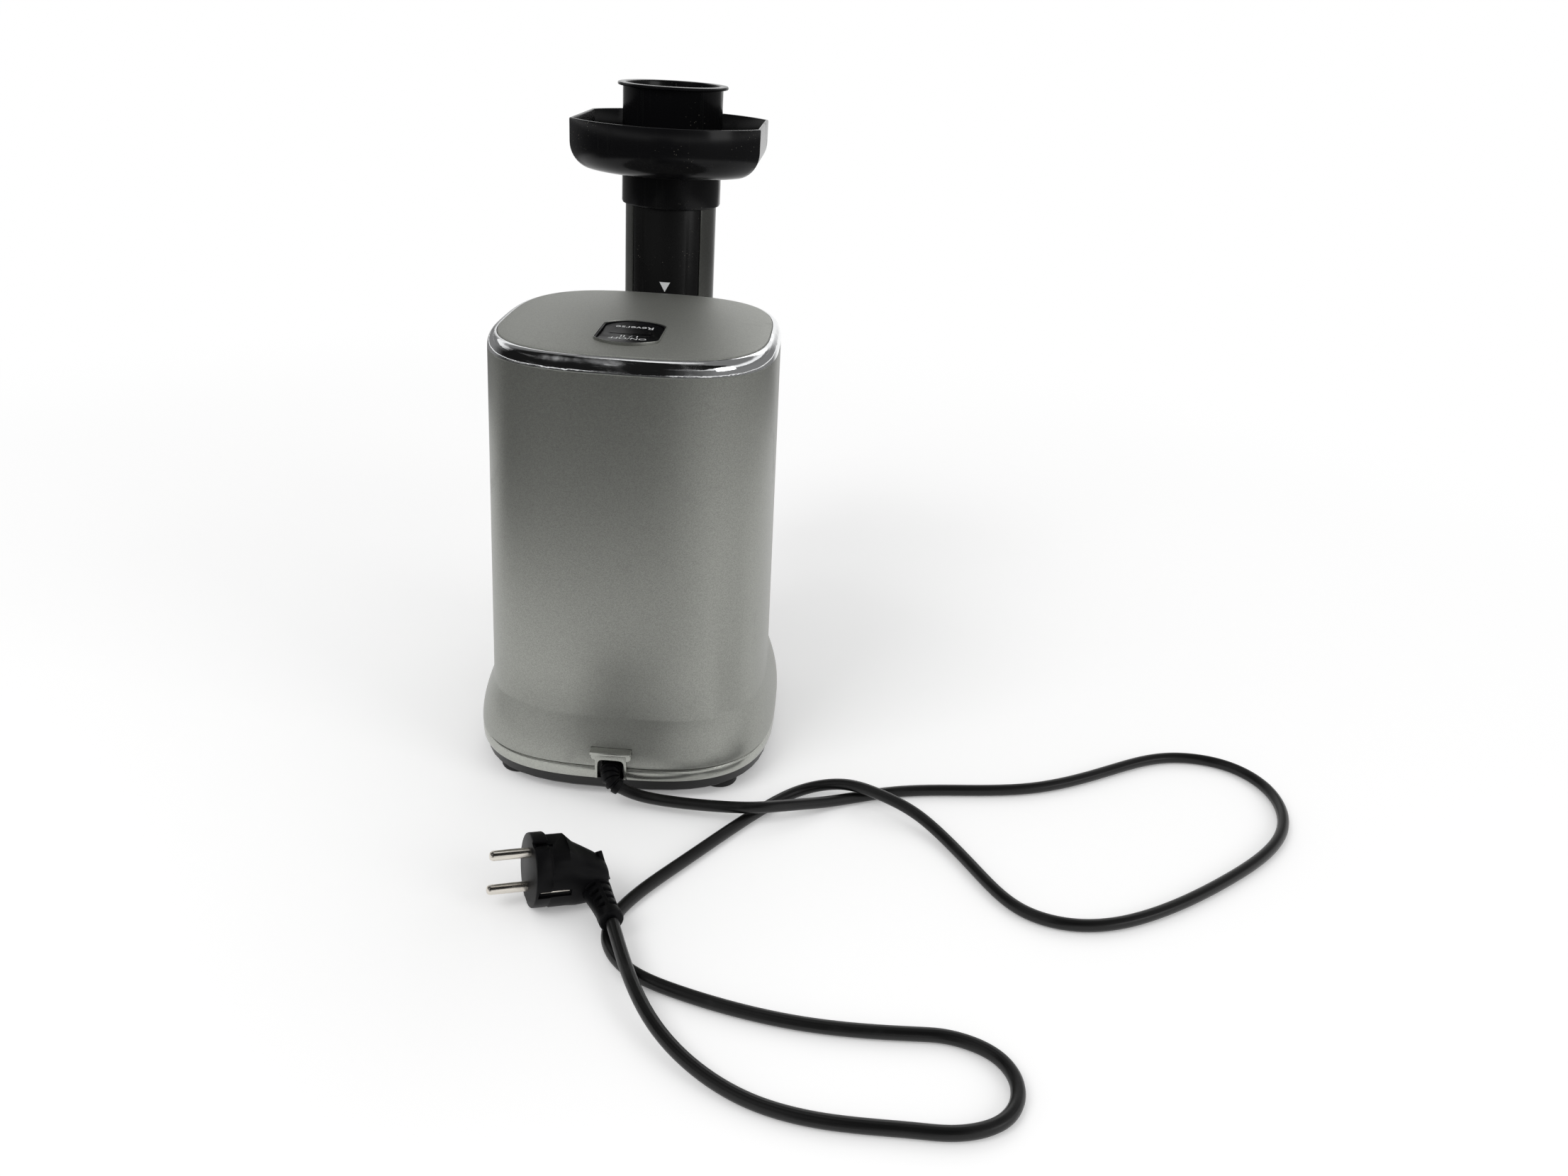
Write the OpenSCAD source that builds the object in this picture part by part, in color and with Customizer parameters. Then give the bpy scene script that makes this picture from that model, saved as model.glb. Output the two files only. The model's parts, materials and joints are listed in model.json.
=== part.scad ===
// Slow juicer: an upright motor housing with a horizontal drum in front of it,
// a feed tube with a hopper tray and a pusher, and a mains cord at the rear.
// Millimetres, +Z up, +Y from the rear of the housing to the pulp nozzle.

/* [Housing] */
// Width of the housing at its foot
base_w = 166; // [158:1:176]
// Width of the housing under the chrome trim
top_w = 147; // [142:1:154]
// Reach of the rear face behind the housing axis, at the foot
base_rear = 83; // [79:1:88]
// Reach of the rear face under the chrome trim
top_rear = 71.7; // [68:0.1:76]
// Reach of the front face before the housing axis, at the foot
base_front = 90; // [87:1:96]
// Reach of the front face under the chrome trim
top_front = 82.4; // [80:0.1:86]
// Height of the chrome trim's lower edge
trim_z = 230.5; // [226:0.5:245]
// How far the foot flares out
flare_out = 6.3; // [4:0.1:8]
// Height of the flare above the bulge of the foot
flare_h = 27; // [22:1:36]
// Wall of the moulded housing
wall = 2.8; // [2:0.1:3.2]

/* [Top panel] */
// Height of the chrome trim
trim_h = 7.3; // [6.5:0.1:10]
// How far the trim leans inwards
trim_in = 4.2; // [3:0.1:6]
// Rise of the panel's rim above the trim
panel_rim = 0.6; // [0.4:0.1:1.5]
// Rise of the panel's middle above its rim
panel_crown = 2.3; // [1:0.1:3]
// Width of the switch bezel
bezel_w = 32.5; // [29:0.5:36]
// Length of the switch bezel
bezel_l = 47; // [43:0.5:52]
// Distance of the switch behind the housing axis
switch_back = 27; // [24:1:30]

/* [Foot] */
// Height of the rubber feet under the base plate
foot_h = 4; // [3:0.5:6]
// Diameter of a rubber foot
foot_d = 20; // [16:1:22]
// Height of the black skirt of the base plate
skirt_h = 8.4; // [7:0.1:10]
// Height of the silver band
band_h = 4.4; // [3.5:0.1:6]

/* [Drum] */
// Height of the drum axis
drum_z = 170; // [167:1:173]
// Diameter of the auger
auger_d = 54; // [50:1:56]
// Outer diameter of the strainer chamber
chamber_d = 80; // [78:1:86]
// Length of the feed zone of the drum
feed_l = 54; // [54:1:60]
// Length of the strainer zone of the drum
strain_l = 46; // [42:1:56]
// Wall of the drum
drum_wall = 3; // [2.5:0.1:3.2]
// Diameter of the juice spout
spout_d = 22; // [18:1:24]

/* [Feed tube] */
// Outer diameter of the silver cover of the feed tube
tube_d = 53; // [52:0.5:56]
// Height of the feed tube's top
tube_top = 302; // [290:1:315]
// Wall of the feed tube with its cover
tube_wall = 3.3; // [3:0.1:3.8]
// Diameter of the hopper tray
tray_d = 125; // [118:1:134]
// Width of the tray over its two flat sides
tray_w = 106; // [98:1:110]
// Height of the tray
tray_h = 27.5; // [24:0.5:32]
// Length of the collar under the tray
collar_l = 19.5; // [16:0.5:24]
// How much wider the pusher's cup is than the feed tube
cup_over = 4; // [2:0.5:7]
// Height of the pusher above the tray's floor
cup_h = 43.8; // [38:0.1:52]

/* [Cord] */
// Diameter of the mains cord
cord_d = 6.2; // [5.5:0.1:7]

/* [Hidden] */

// Smoothness of the round forms
$fn = 64;
plan_steps = 48;
// Roundness of the housing in plan: 2 is an ellipse, more is squarer
plan_n = 3;
// One overrun for all cuts
over = 1;
// Gap between pieces that turn or slide past each other
gap = 0.4;
// Clearance of a shaft in its bore, and of pieces that fit together
fit = 0.05;
seat = 0.1;

// Heights of the housing
plate_z = foot_h;
band_z = plate_z + skirt_h;
groove = 0.7;
shell_z = band_z + band_h + groove;
lip_r = 3;
bulge_z = shell_z + lip_r;
trim_top = trim_z + trim_h;
panel_rim_z = trim_top + panel_rim;
panel_top_z = panel_rim_z + panel_crown;
lip_in = 1.2;
lip_shares = [0.33, 0.67];
flare_shares = [0.2, 0.4, 0.6, 0.8, 1];
wall_shares = [0.3, 0.65, 1];

// Base plate
plate_floor = 3;
floor_z = plate_z + plate_floor;
plate_in = 4.9;
skirt_round = 2.2;
skirt_in = 1.2;
skirt_mid_in = 2.4;
band_in = 0.4;
band_step = 1.6;
rim_in = 4.3;
rim_t = 2.5;
rim_up = 10.4;
rim_z = band_z + rim_up;
band_back = rim_in - seat;
foot_x_share = 0.67;
foot_y_share = 0.66;
foot_x = base_w / 2 * foot_x_share;
foot_y = base_rear * foot_y_share;
foot_bevel = 1;
foot_stem_d = 8;
vent_l = 34;
vent_w = 2.6;
vent_pitch = 6;
vent_steps = 2;
vent_x = 24;
vent_y = 34;

// Screws through the base plate into the posts of the housing
post_turn = 65;
post_share = 0.88;
post_r = 5;
post_z = rim_z + gap;
post_top = 38;
post_rib = 2.4;
rib_z = post_z + gap;
screw_d = 3.4;
screw_head_d = 7;
screw_head_h = 2.2;
screw_l = 26;

// Cord entry at the rear of the foot
entry_w = 16.8;
entry_hole_w = 14.2;
entry_top = 28.4;
entry_hole_top = 25.2;
entry_low = 13.6;
entry_proud = 1.3;
entry_deep = 3.7;
eave_w = 21.6;
eave_h = 2.8;
eave_proud = 4.2;
eave_deep = 2.4;
relief_d = 9.6;
relief_tip_d = 7.4;
relief_flange_d = 10.8;
relief_flange_t = 1.2;
relief_slot_w = 11;
relief_z = 18.6;
relief_sides = 16;
clamp_w = 22;
clamp_l = 9;
clamp_over = 4;
clamp_back = 66;

// Socket of the drum and the drum itself, as distances before the housing axis
ring_front = 92;
ring_back = 66;
ring_r = 49;
ring_floor = 4;
ring_eye_r = 17;
neck_r = 36.2;
neck_back = 74;
ring_lip = 4.8;
lug_h = 3;
lug_t = 3;
lug_count = 3;
lug_angle = 36;
slot_slack = 3;
drum_turn = 40;
drum_gap = 0.3;
flange_r = 46;
flange_t = 4;
drum_back = ring_front + drum_gap;
drum_feed = drum_back + flange_t;
drum_mid = drum_feed + feed_l;
drum_end = drum_mid + strain_l;
shoulder = 6;
shoulder_back = 2;
auger_gap = 0.6;
bore_r = auger_d / 2 + auger_gap;
feed_r = bore_r + drum_wall;
chamber_r = chamber_d / 2;
chamber_in = chamber_r - drum_wall;
tube_y = drum_back + tube_d / 2 + drum_gap;
seal_r = 10;
seal_lip = 0.8;
seal_lip_r = 13;
spout_l = 22;
spout_wall = 1.8;
spout_y = drum_mid + strain_l / 2;
spout_low = drum_z - chamber_r - spout_l;
cap_lug_h = 1.8;
cap_lug_t = 3;
cap_lug_back = 8;
cap_lug_angle = 28;

// Feed tube, tray and pusher
cover_t = 1.55;
cover_open = 96;
cover_drop = 2;
tube_r = tube_d / 2 - cover_t - seat;
strip_r = tube_d / 2 - drum_gap;
strip_open = 94;
strip_drop = 3;
tray_t = 2.4;
tray_wall = 1.8;
tray_round = 15;
tray_shares = [0, 0.2, 0.4, 0.6, 0.8, 1];
tray_steps = 10;
collar_wall = 1.8;
collar_round = 1.4;
collar_r = tube_d / 2 + gap + collar_wall;
tray_floor_z = tube_top + tray_t;
tray_top_z = tube_top + tray_h;
cup_wall = 2;
cup_flange = 2.9;
cup_d = tube_d + cup_over;
cup_flange_d = cup_d + 2 * cup_flange;
cup_flange_t = 1.7;
cup_round = 1;
tube_bore = tube_d - 2 * tube_wall;
plunger_r = tube_bore / 2 - gap;
plunger_wall = 1.8;
plunger_lift = 2.4;
plunger_z = drum_z + auger_d / 2 + plunger_lift;
cup_top_z = tray_floor_z + cup_h;

// Auger and strainer
strainer_gap = 0.8;
strainer_t = 1.5;
strainer_flange = 2.5;
slot_count = 24;
slot_w = 1;
slot_margin = 6;
core_back_r = 11;
core_front_r = 19;
auger_start = drum_feed + drum_gap + auger_gap;
auger_end = drum_end - strainer_flange - auger_gap;
flight_t = 3.4;
flight_root_t = 5;
flight_turns = 3.5;
flight_steps = 20;
flight_sink = 1.5;
flight_end = 1.2;
end_r = 24.2;
nose_r = 6;
nose_l = 10.6;
hex_flat = 10;
hex_back = 72;
shaft_r = 7;
shaft_deep = 20;
strainer_back = drum_mid + shoulder_back + seat;
strainer_front_r = end_r + strainer_gap;

// End cap with its pulp nozzle
cap_seal_t = 2;
cap_seal_w = 5;
cap_wall = 3;
cap_l = 13;
cap_lip_h = 1.8;
cap_lip_t = 2.7;
cap_floor = drum_end + cap_seal_t;
cap_back = cap_floor - cap_l;
cap_front = cap_floor + cap_wall;
cap_in = chamber_r + cap_lug_h + gap;
cap_r = cap_in + cap_wall;
grip_count = 20;
grip_r = 1.6;
bush_r = 8;
bush_l = 8;
bush_back = cap_floor - 1.4;
boss_wall = 2.4;
nozzle_r = 14;
nozzle_wall = 2;
nozzle_l = 43;
nozzle_drop = 23;
nozzle_tilt = 8;
nozzle_y = cap_front + nozzle_l * cos(nozzle_tilt) + nozzle_r * sin(nozzle_tilt);

// Whole object: the origin is under the middle of its box
rear_y = base_rear + eave_proud;
house_y = (rear_y - nozzle_y) / 2;

// Drive train, as distances before the housing axis
motor_drop = 62;
motor_z = drum_z - motor_drop;
pinion_teeth = 12;
first_teeth = 72;
second_teeth = 60;
first_module = 0.9;
second_module = 1.2;
pressure = 25;
backlash_share = 0.13;
root_share = 1.25;
flank_shares = [0, 0.35, 0.7, 1];
first_reach = first_module * (pinion_teeth + first_teeth) / 2;
second_reach = second_module * (pinion_teeth + second_teeth) / 2;
first_y = 28.6;
first_w = 8;
second_y = 43.6;
second_w = 12;
pin_r = 3;
pin_deep = 2;
idler_hub_r = 6;
out_r = 6;
out_hub_r = 11;
out_hub_up = 1;
out_back = 21;
out_front = 71;
out_bearing_r = 14;
out_bearing_w = 7;
web_holes = 6;
web_hole_r = 5;
coupling_r = 15.2;
coupling_gap = 1.2;
coupling_end = 4;

// Corner of the triangle of the three axes, by the law of cosines
idler_down = (second_reach * second_reach + motor_drop * motor_drop - first_reach * first_reach)
    / (2 * motor_drop);
idler_x = sqrt(second_reach * second_reach - idler_down * idler_down);
idler_z = drum_z - idler_down;
first_line = atan2(-(idler_z - motor_z), idler_x);
second_line = atan2(-(drum_z - idler_z), -idler_x);

// Gear case in two halves
case_back = 18;
case_split = 40;
case_wall = 3;
case_front = ring_back;
cover_front_t = 4;
tooth_gap = 1;
motor_lobe = 14;
first_lobe = first_module * (first_teeth / 2 + 1) + tooth_gap + case_wall;
second_lobe = second_module * (second_teeth / 2 + 1) + tooth_gap + case_wall;
small_lobe = second_module * (pinion_teeth / 2 + 1) + tooth_gap + case_wall;
boss_r = 10;
boss_l = 5.8;
pad_r = 5.4;
pad_out = 4;
pad_l = 8;
bolt_d = 3.4;
bolt_head_d = 6.2;
bolt_head_h = 2.4;
out_pads = [35, 145, 205];
idler_pad = -50;

// Motor
stator_r = 36;
stator_bore_r = 20.6;
stator_back = -40;
stator_front = 6;
stator_slots = 12;
stator_slot_w = 4;
stator_slot_d = 9;
coil_in = 22;
coil_out = 33;
coil_l = 7;
rotor_r = 20;
rotor_slot_w = 2;
rotor_slot_d = 1.6;
rotor_slots = 12;
spindle_r = 4;
spindle_gap = 1;
spindle_back = -65;
bearing_r = 11;
bearing_w = 7;
bearing_ring = 2.2;
bearing_groove_share = 0.2;
bracket_t = 3;
bracket_wall = 1.8;
bracket_cup = 2.4;
bracket_front_l = 12;
bracket_rear_l = 17;
bracket_holes = 6;
bracket_hole_r = 5;
comm_r = 12;
comm_l = 6;
fan_r = 27;
fan_hub_r = 8;
fan_w = 6;
fan_disc = 1.5;
fan_gap = 1.6;
fan_blades = 11;
fan_blade_t = 1.4;
fan_blade_turn = 25;
cradle_w = 54;
cradle_t = 6;
cradle_up = 20;
cradle_foot = 3;
cradle_in = 6;

// Control board on its posts
board_w = 44;
board_l = 30;
board_t = 1.6;
board_in = 45;
board_x = board_in - base_w / 2;
board_y = base_rear - board_in;
board_post_h = 9;
board_post_d = 6;
board_edge = 4;
capacitor_d = 14;
capacitor_h = 20;
relay_w = 16;
relay_h = 13;

// Switch in the panel
bezel_bulge = 5;
bezel_rim = 1.2;
bezel_proud = 0.5;
panel_t = 5;
panel_low = trim_top - panel_t;
panel_gap = 0.5;
panel_edge = 1;
edge_share = 0.3;
crown_shares = [0.15, 0.35, 0.6, 0.85];
trim_shares = [0.2, 0.4, 0.6, 0.8, 1];
rocker_gap = 0.4;
rocker_end_gap = 1.3;
rocker_t = 3.6;
rocker_dish = 1.2;
rocker_low = 0.4;
rocker_web = 17;
rocker_web_l = 9;
rocker_steps = 12;
pivot_r = 2;
pivot_drop = 1.2;
pivot_wall = 0.8;
pivot_z = panel_low - pivot_drop;
ear_in = 9.2;
ear_t = 3;
ear_l = 8;
ear_h = 12;
block_w = 26;
block_l = 38;
block_h = 16;
block_plate = 3;
block_edge = 4;
block_wall = 2;
block_floor = 8;

// Plug: centre of its face, and how its pins are turned
plug_face = [-23.2, -171.6, 18.6];
plug_yaw = 25.1;
plug_pitch = 6.5;
plug_r = 18.4;
plug_mid_r = 16.9;
plug_puck = 13;
plug_back = 31;
plug_back_r = 10;
plug_edge = 1.2;
plug_core = 20;
plug_arm_r = 8.5;
plug_arm_mid_r = 6.6;
plug_arm_tip_r = 4.6;
pin_d = 4.8;
pin_l = 19;
pin_pitch = 19;
pin_sink = 6;
guide_w = 5.2;
guide_d = 2.4;

// Mains cord: X, Y before the housing axis and lift above the table
cord_route = [
    [6, -90, 9.5], [20, -90.5, 5], [66, -95.5, 6.4], [84, -93.5, 6.8],
    [101, -85, 4.2], [120, -74, 0.8], [162, -57.5, 0], [230, -45.5, 0], [288, -14.5, 0],
    [320, -1, 0], [350, -6, 0], [369, -30, 0], [362, -70, 0], [322, -115, 0], [275, -149, 0],
    [240, -161, 0], [212, -153, 0], [192, -124, 0], [174, -95, 1.4], [160, -82, 4.4],
    [143, -73, 6.8], [125, -66, 6.4], [105, -66, 2], [85, -82, 0], [45, -137, 0],
    [18, -187, 0], [27, -212, 0], [54, -227, 0], [110, -240, 0], [157.5, -240.5, 0],
    [172, -241, 0], [189.5, -249, 0], [197, -265.5, 0], [190, -282.5, 0], [171.5, -291, 0],
    [153, -291.5, 0], [120, -290.5, 0], [84, -281, 0.3], [48, -251, 3.8], [22.5, -197.5, 8.6]
];
cord_sides = 8;
function route_point(p) = [p[0], p[1], p[2] + cord_d / 2];
cord_start = route_point(cord_route[0]);
cord_stop = route_point(cord_route[len(cord_route) - 1]);

// Plan of the housing: a rounded square whose front and rear reach differ
function sign_of(v) = v < 0 ? -1 : 1;
function plan(half, front, rear, z) = [
    for (i = [0 : plan_steps - 1])
        let (t = 360 * i / plan_steps, c = cos(t), s = sin(t))
        [
            half * sign_of(c) * pow(abs(c), 2 / plan_n),
            (s < 0 ? rear : front) * sign_of(s) * pow(abs(s), 2 / plan_n),
            z
        ]
];

// Straight taper of the wall, with the flare of the foot added to it
function flare(z) = z >= bulge_z + flare_h ? 0
    : flare_out * cos(90 * max(0, z - bulge_z) / flare_h);
function reach(top, foot, z) =
    foot - flare_out + (top - foot + flare_out) * (z - bulge_z) / (trim_z - bulge_z) + flare(z);
function side_at(z) = reach(top_w / 2, base_w / 2, z);
function rear_at(z) = reach(top_rear, base_rear, z);
function front_at(z) = reach(top_front, base_front, z);

// Rings of the housing, the foot and the top, moved inwards
function shell_ring(z, in) = plan(side_at(z) - in, front_at(z) - in, rear_at(z) - in, z);
function foot_ring(z, in) = plan(base_w / 2 - in, base_front - in, base_rear - in, z);
function top_ring(z, in) = plan(top_w / 2 - in, top_front - in, top_rear - in, z);

// Solid through a list of rings, closed by end faces or joined to itself
module loft(rings, joined = false) {
    n = len(rings[0]);
    m = len(rings);
    sides = [
        for (j = [0 : joined ? m - 1 : m - 2]) for (i = [0 : n - 1])
            let (k = (i + 1) % n, u = (j + 1) % m)
            each [[j * n + i, u * n + k, j * n + k], [j * n + i, u * n + i, u * n + k]]
    ];
    ends = joined ? [] : [[for (i = [0 : n - 1]) i], [for (i = [n - 1 : -1 : 0]) (m - 1) * n + i]];
    polyhedron([for (r = rings) each r], concat(sides, ends), convexity = 8);
}

// Smooth curve through the points of a route, some steps to each span
function bend(p0, p1, p2, p3, t) = 0.5 * ((2 * p1) + (p2 - p0) * t
    + (2 * p0 - 5 * p1 + 4 * p2 - p3) * t * t + (3 * p1 - p0 - 3 * p2 + p3) * t * t * t);
function smooth(p, steps) = concat(
    [for (i = [0 : len(p) - 2]) for (k = [0 : steps - 1])
        bend(p[max(i - 1, 0)], p[i], p[i + 1], p[min(i + 2, len(p) - 1)], k / steps)],
    [p[len(p) - 1]]
);
function unit_of(v) = v / norm(v);
function heading(p, i) = unit_of(p[min(i + 1, len(p) - 1)] - p[max(i - 1, 0)]);

// Round tube along a line of points, with its own radius at each point
module sweep(p, radii, sides) {
    loft([
        for (i = [0 : len(p) - 1])
            let (
                h = heading(p, i),
                across = unit_of(cross(h, [0, 0, 1])),
                up = cross(across, h),
                r = radii[min(i, len(radii) - 1)]
            )
            [for (k = [0 : sides - 1])
                let (a = -360 * (k + 0.5) / sides)
                p[i] + r * cos(a) * across + r * sin(a) * up]
    ]);
}

// Placing helpers: on_axis turns a solid along Z to lie along +Y
module at_house() translate([0, house_y, 0]) children();
module on_axis(x, y, z) at_house() translate([x, y, z]) rotate([-90, 0, 0]) children();
module tube(r, hole, length) {
    difference() {
        cylinder(r = r, h = length);
        translate([0, 0, -over]) cylinder(r = hole, h = length + 2 * over);
    }
}
module sector(r, angle, length) {
    rotate([0, 0, -angle / 2]) rotate_extrude(angle = angle) square([r, length]);
}

// Housing

function turn_share(v) = pow(v, 2 / plan_n);
function post_at(end) = [
    side_at(post_top) * turn_share(cos(post_turn)),
    (end < 0 ? -rear_at(post_top) : front_at(post_top)) * turn_share(sin(post_turn))
];
function wall_reach(z, end) = norm([
    (side_at(z) - wall / 2) * turn_share(cos(post_turn)),
    ((end < 0 ? rear_at(z) : front_at(z)) - wall / 2) * turn_share(sin(post_turn))
]);
module at_posts() {
    for (end = [-1, 1]) for (side = [-1, 1]) {
        p = post_at(end);
        translate([side * p[0] * post_share, p[1] * post_share, 0]) children();
    }
}
module entry_cut() {
    translate([-entry_w / 2 - seat, -base_rear - eave_proud, entry_low - seat])
        cube([entry_w + 2 * seat, eave_proud + rim_in, entry_top - entry_low + seat + over]);
    translate([-eave_w / 2 - seat, -base_rear - eave_proud, entry_top - seat])
        cube([eave_w + 2 * seat, eave_proud + eave_deep + seat, eave_h + 2 * seat]);
}

module housing_shell() color([0.78, 0.78, 0.76]) at_house() {
    difference() {
        union() {
            loft(concat(
                [foot_ring(shell_z, lip_in)],
                [for (s = lip_shares)
                    foot_ring(shell_z + lip_r * s, lip_in * (1 - s) * (1 - s))],
                [shell_ring(bulge_z, 0)],
                [for (s = flare_shares) shell_ring(bulge_z + s * flare_h, 0)],
                [for (s = wall_shares)
                    shell_ring(bulge_z + flare_h + s * (trim_z - bulge_z - flare_h), 0)],
                [shell_ring(trim_z, wall), shell_ring(bulge_z + flare_h, wall)],
                [shell_ring(bulge_z + flare_h * flare_shares[2], wall)],
                [shell_ring(bulge_z, wall), foot_ring(shell_z, wall)]
            ), joined = true);
            at_posts() translate([0, 0, post_z]) cylinder(r = post_r, h = post_top - post_z);
            for (end = [-1, 1]) for (side = [-1, 1]) {
                p = post_at(end);
                rotate([0, 0, atan2(p[1], side * p[0])]) rotate([90, 0, 0])
                    translate([0, 0, -post_rib / 2]) linear_extrude(post_rib) polygon([
                        [norm(p) * post_share, rib_z], [wall_reach(rib_z, end), rib_z],
                        [wall_reach(post_top, end), post_top - gap],
                        [norm(p) * post_share, post_top - gap]
                    ]);
            }
        }
        translate([0, 0, drum_z]) rotate([-90, 0, 0]) cylinder(r = ring_r + seat, h = ring_front);
        entry_cut();
        at_posts() translate([0, 0, plate_z]) cylinder(d = screw_d + seat, h = screw_l + over);
    }
}

module chrome_trim() color([0.86, 0.87, 0.88]) at_house() {
    loft(concat(
        [top_ring(trim_z, 0)],
        [for (s = trim_shares)
            top_ring(trim_z + trim_h * sin(90 * s), trim_in * (1 - cos(90 * s)))],
        [top_ring(trim_top, trim_in + panel_gap), top_ring(panel_low, trim_in + panel_gap)],
        [top_ring(panel_low, trim_in + wall), top_ring(trim_z, trim_in + wall)]
    ), joined = true);
}

module top_panel() color([0.74, 0.74, 0.72]) at_house() {
    in = trim_in + panel_gap + seat;
    half = top_w / 2 - in - panel_edge;
    front = top_front - in - panel_edge;
    rear = top_rear - in - panel_edge;
    difference() {
        loft(concat(
            [top_ring(panel_low, in), top_ring(panel_rim_z - panel_edge, in)],
            [top_ring(panel_rim_z - panel_edge * edge_share, in + panel_edge * edge_share)],
            [top_ring(panel_rim_z, in + panel_edge)],
            [for (s = crown_shares) plan(half * (1 - s), front * (1 - s), rear * (1 - s),
                panel_rim_z + panel_crown * (1 - (1 - s) * (1 - s)))]
        ));
        translate([0, -switch_back, panel_low - over])
            linear_extrude(panel_top_z - panel_low + 2 * over)
                switch_plan(bezel_w + 2 * seat, bezel_l + 2 * seat);
    }
}

// Outline with straight sides and bulging ends
module switch_plan(w, l) {
    bulge = bezel_bulge * w / bezel_w;
    r = (w * w / 4 + bulge * bulge) / (2 * bulge);
    ends = [
        for (i = [rocker_steps / 2 : -1 : -rocker_steps / 2])
            let (x = w * i / rocker_steps) [x, l / 2 - r + sqrt(r * r - x * x)]
    ];
    polygon(concat(ends, [for (p = ends) [-p[0], -p[1]]]));
}

// Height of the crowned panel at the switch
switch_z = panel_rim_z + panel_crown * (1 - pow(switch_back / top_rear, 2));

module switch_bezel() color([0.7, 0.7, 0.7]) at_house() {
    translate([0, -switch_back, panel_low]) linear_extrude(switch_z - panel_low + bezel_proud)
        difference() {
            switch_plan(bezel_w, bezel_l);
            switch_plan(bezel_w - 2 * bezel_rim, bezel_l - 2 * bezel_rim);
        }
}

module switch_block() color([0.12, 0.12, 0.13]) at_house() translate([0, -switch_back, 0]) {
    low = panel_low - block_plate;
    deep = low - block_h;
    difference() {
        union() {
            translate([-bezel_w / 2 - block_edge, -bezel_l / 2 - block_edge, low])
                cube([bezel_w + 2 * block_edge, bezel_l + 2 * block_edge, block_plate]);
            translate([-block_w / 2, -block_l / 2, deep]) cube([block_w, block_l, block_h]);
        }
        translate([0, 0, low - seat]) linear_extrude(block_plate + over)
            switch_plan(bezel_w - 2 * seat, bezel_l - 2 * seat);
        translate([-block_w / 2 + block_wall, -block_l / 2 + block_wall, deep + block_floor])
            cube([block_w - 2 * block_wall, block_l - 2 * block_wall, block_h]);
    }
    for (side = [0, 1]) mirror([side, 0, 0]) difference() {
        translate([ear_in, -ear_l / 2, pivot_z - ear_h])
            cube([block_w / 2 - ear_in - block_wall / 2, ear_l, ear_h + pivot_r + pivot_wall]);
        translate([0, 0, pivot_z]) rotate([0, 90, 0]) cylinder(r = pivot_r + fit, h = block_w);
    }
}

module rocker_switch() color([0.04, 0.04, 0.05]) at_house() translate([0, -switch_back, 0]) {
    w = bezel_w - 2 * (bezel_rim + rocker_gap);
    l = bezel_l - 2 * (bezel_rim + rocker_end_gap);
    top = switch_z + bezel_proud - rocker_low;
    low = top - rocker_t - rocker_dish;
    intersection() {
        translate([0, 0, low]) linear_extrude(top - low + over) switch_plan(w, l);
        rotate([90, 0, 90]) translate([0, 0, -w]) linear_extrude(2 * w) polygon(concat(
            [[-l, low - over], [l, low - over]],
            [for (i = [rocker_steps : -1 : 0]) let (s = 2 * i / rocker_steps - 1)
                [s * l / 2, top - rocker_dish * (1 - s * s)]]
        ));
    }
    translate([-rocker_web / 2, -rocker_web_l / 2, pivot_z - pivot_r])
        cube([rocker_web, rocker_web_l, low + rocker_dish - pivot_z + pivot_r]);
    translate([-ear_in - ear_t / 2, 0, pivot_z]) rotate([0, 90, 0])
        cylinder(r = pivot_r, h = 2 * ear_in + ear_t);
}

// Foot

module base_band() color([0.72, 0.72, 0.72]) at_house() difference() {
    loft([
        foot_ring(band_z, band_in), foot_ring(band_z + band_h, band_in),
        foot_ring(band_z + band_h, band_step), foot_ring(shell_z, band_step),
        foot_ring(shell_z, band_back), foot_ring(band_z, band_back)
    ], joined = true);
    entry_cut();
}

module base_plate() color([0.06, 0.06, 0.07]) at_house() difference() {
    union() {
        loft([
            foot_ring(plate_z, plate_in), foot_ring(plate_z + skirt_round, skirt_mid_in),
            foot_ring(band_z, skirt_in), foot_ring(band_z, rim_in), foot_ring(rim_z, rim_in),
            foot_ring(rim_z, rim_in + rim_t), foot_ring(floor_z, rim_in + rim_t)
        ]);
        at_posts() translate([0, 0, plate_z]) cylinder(r = post_r, h = post_z - plate_z);
        for (x = [-1, 1]) for (y = [-1, 1])
            translate([board_x + x * (board_w / 2 - board_edge),
                board_y + y * (board_l / 2 - board_edge), plate_z])
                cylinder(d = board_post_d, h = plate_floor + board_post_h);
    }
    at_posts() {
        translate([0, 0, plate_z - over]) cylinder(d = screw_d + 2 * seat, h = post_z);
        translate([0, 0, plate_z - over])
            cylinder(d = screw_head_d + 2 * seat, h = screw_head_h + over);
    }
    for (x = [-1, 1]) for (y = [-1, 1]) translate([x * foot_x, y * foot_y, plate_z - over])
        cylinder(d = foot_stem_d, h = plate_floor + 2 * over);
    for (i = [-vent_steps : vent_steps])
        translate([vent_x + i * vent_pitch - vent_w / 2, vent_y - vent_l / 2, plate_z - over])
            cube([vent_w, vent_l, plate_floor + 2 * over]);
    translate([-relief_slot_w / 2, -base_rear, band_z + seat])
        cube([relief_slot_w, rim_in + rim_t + over, rim_z]);
}

module foot(x, y) color([0.1, 0.1, 0.1]) at_house() translate([x * foot_x, y * foot_y, 0]) {
    rotate_extrude() polygon([
        [0, 0], [foot_d / 2 - foot_bevel, 0], [foot_d / 2, foot_bevel], [foot_d / 2, foot_h],
        [foot_stem_d / 2 - seat, foot_h], [foot_stem_d / 2 - seat, floor_z], [0, floor_z]
    ]);
}
module foot_rear_left() foot(-1, -1);
module foot_rear_right() foot(1, -1);
module foot_front_left() foot(-1, 1);
module foot_front_right() foot(1, 1);

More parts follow.
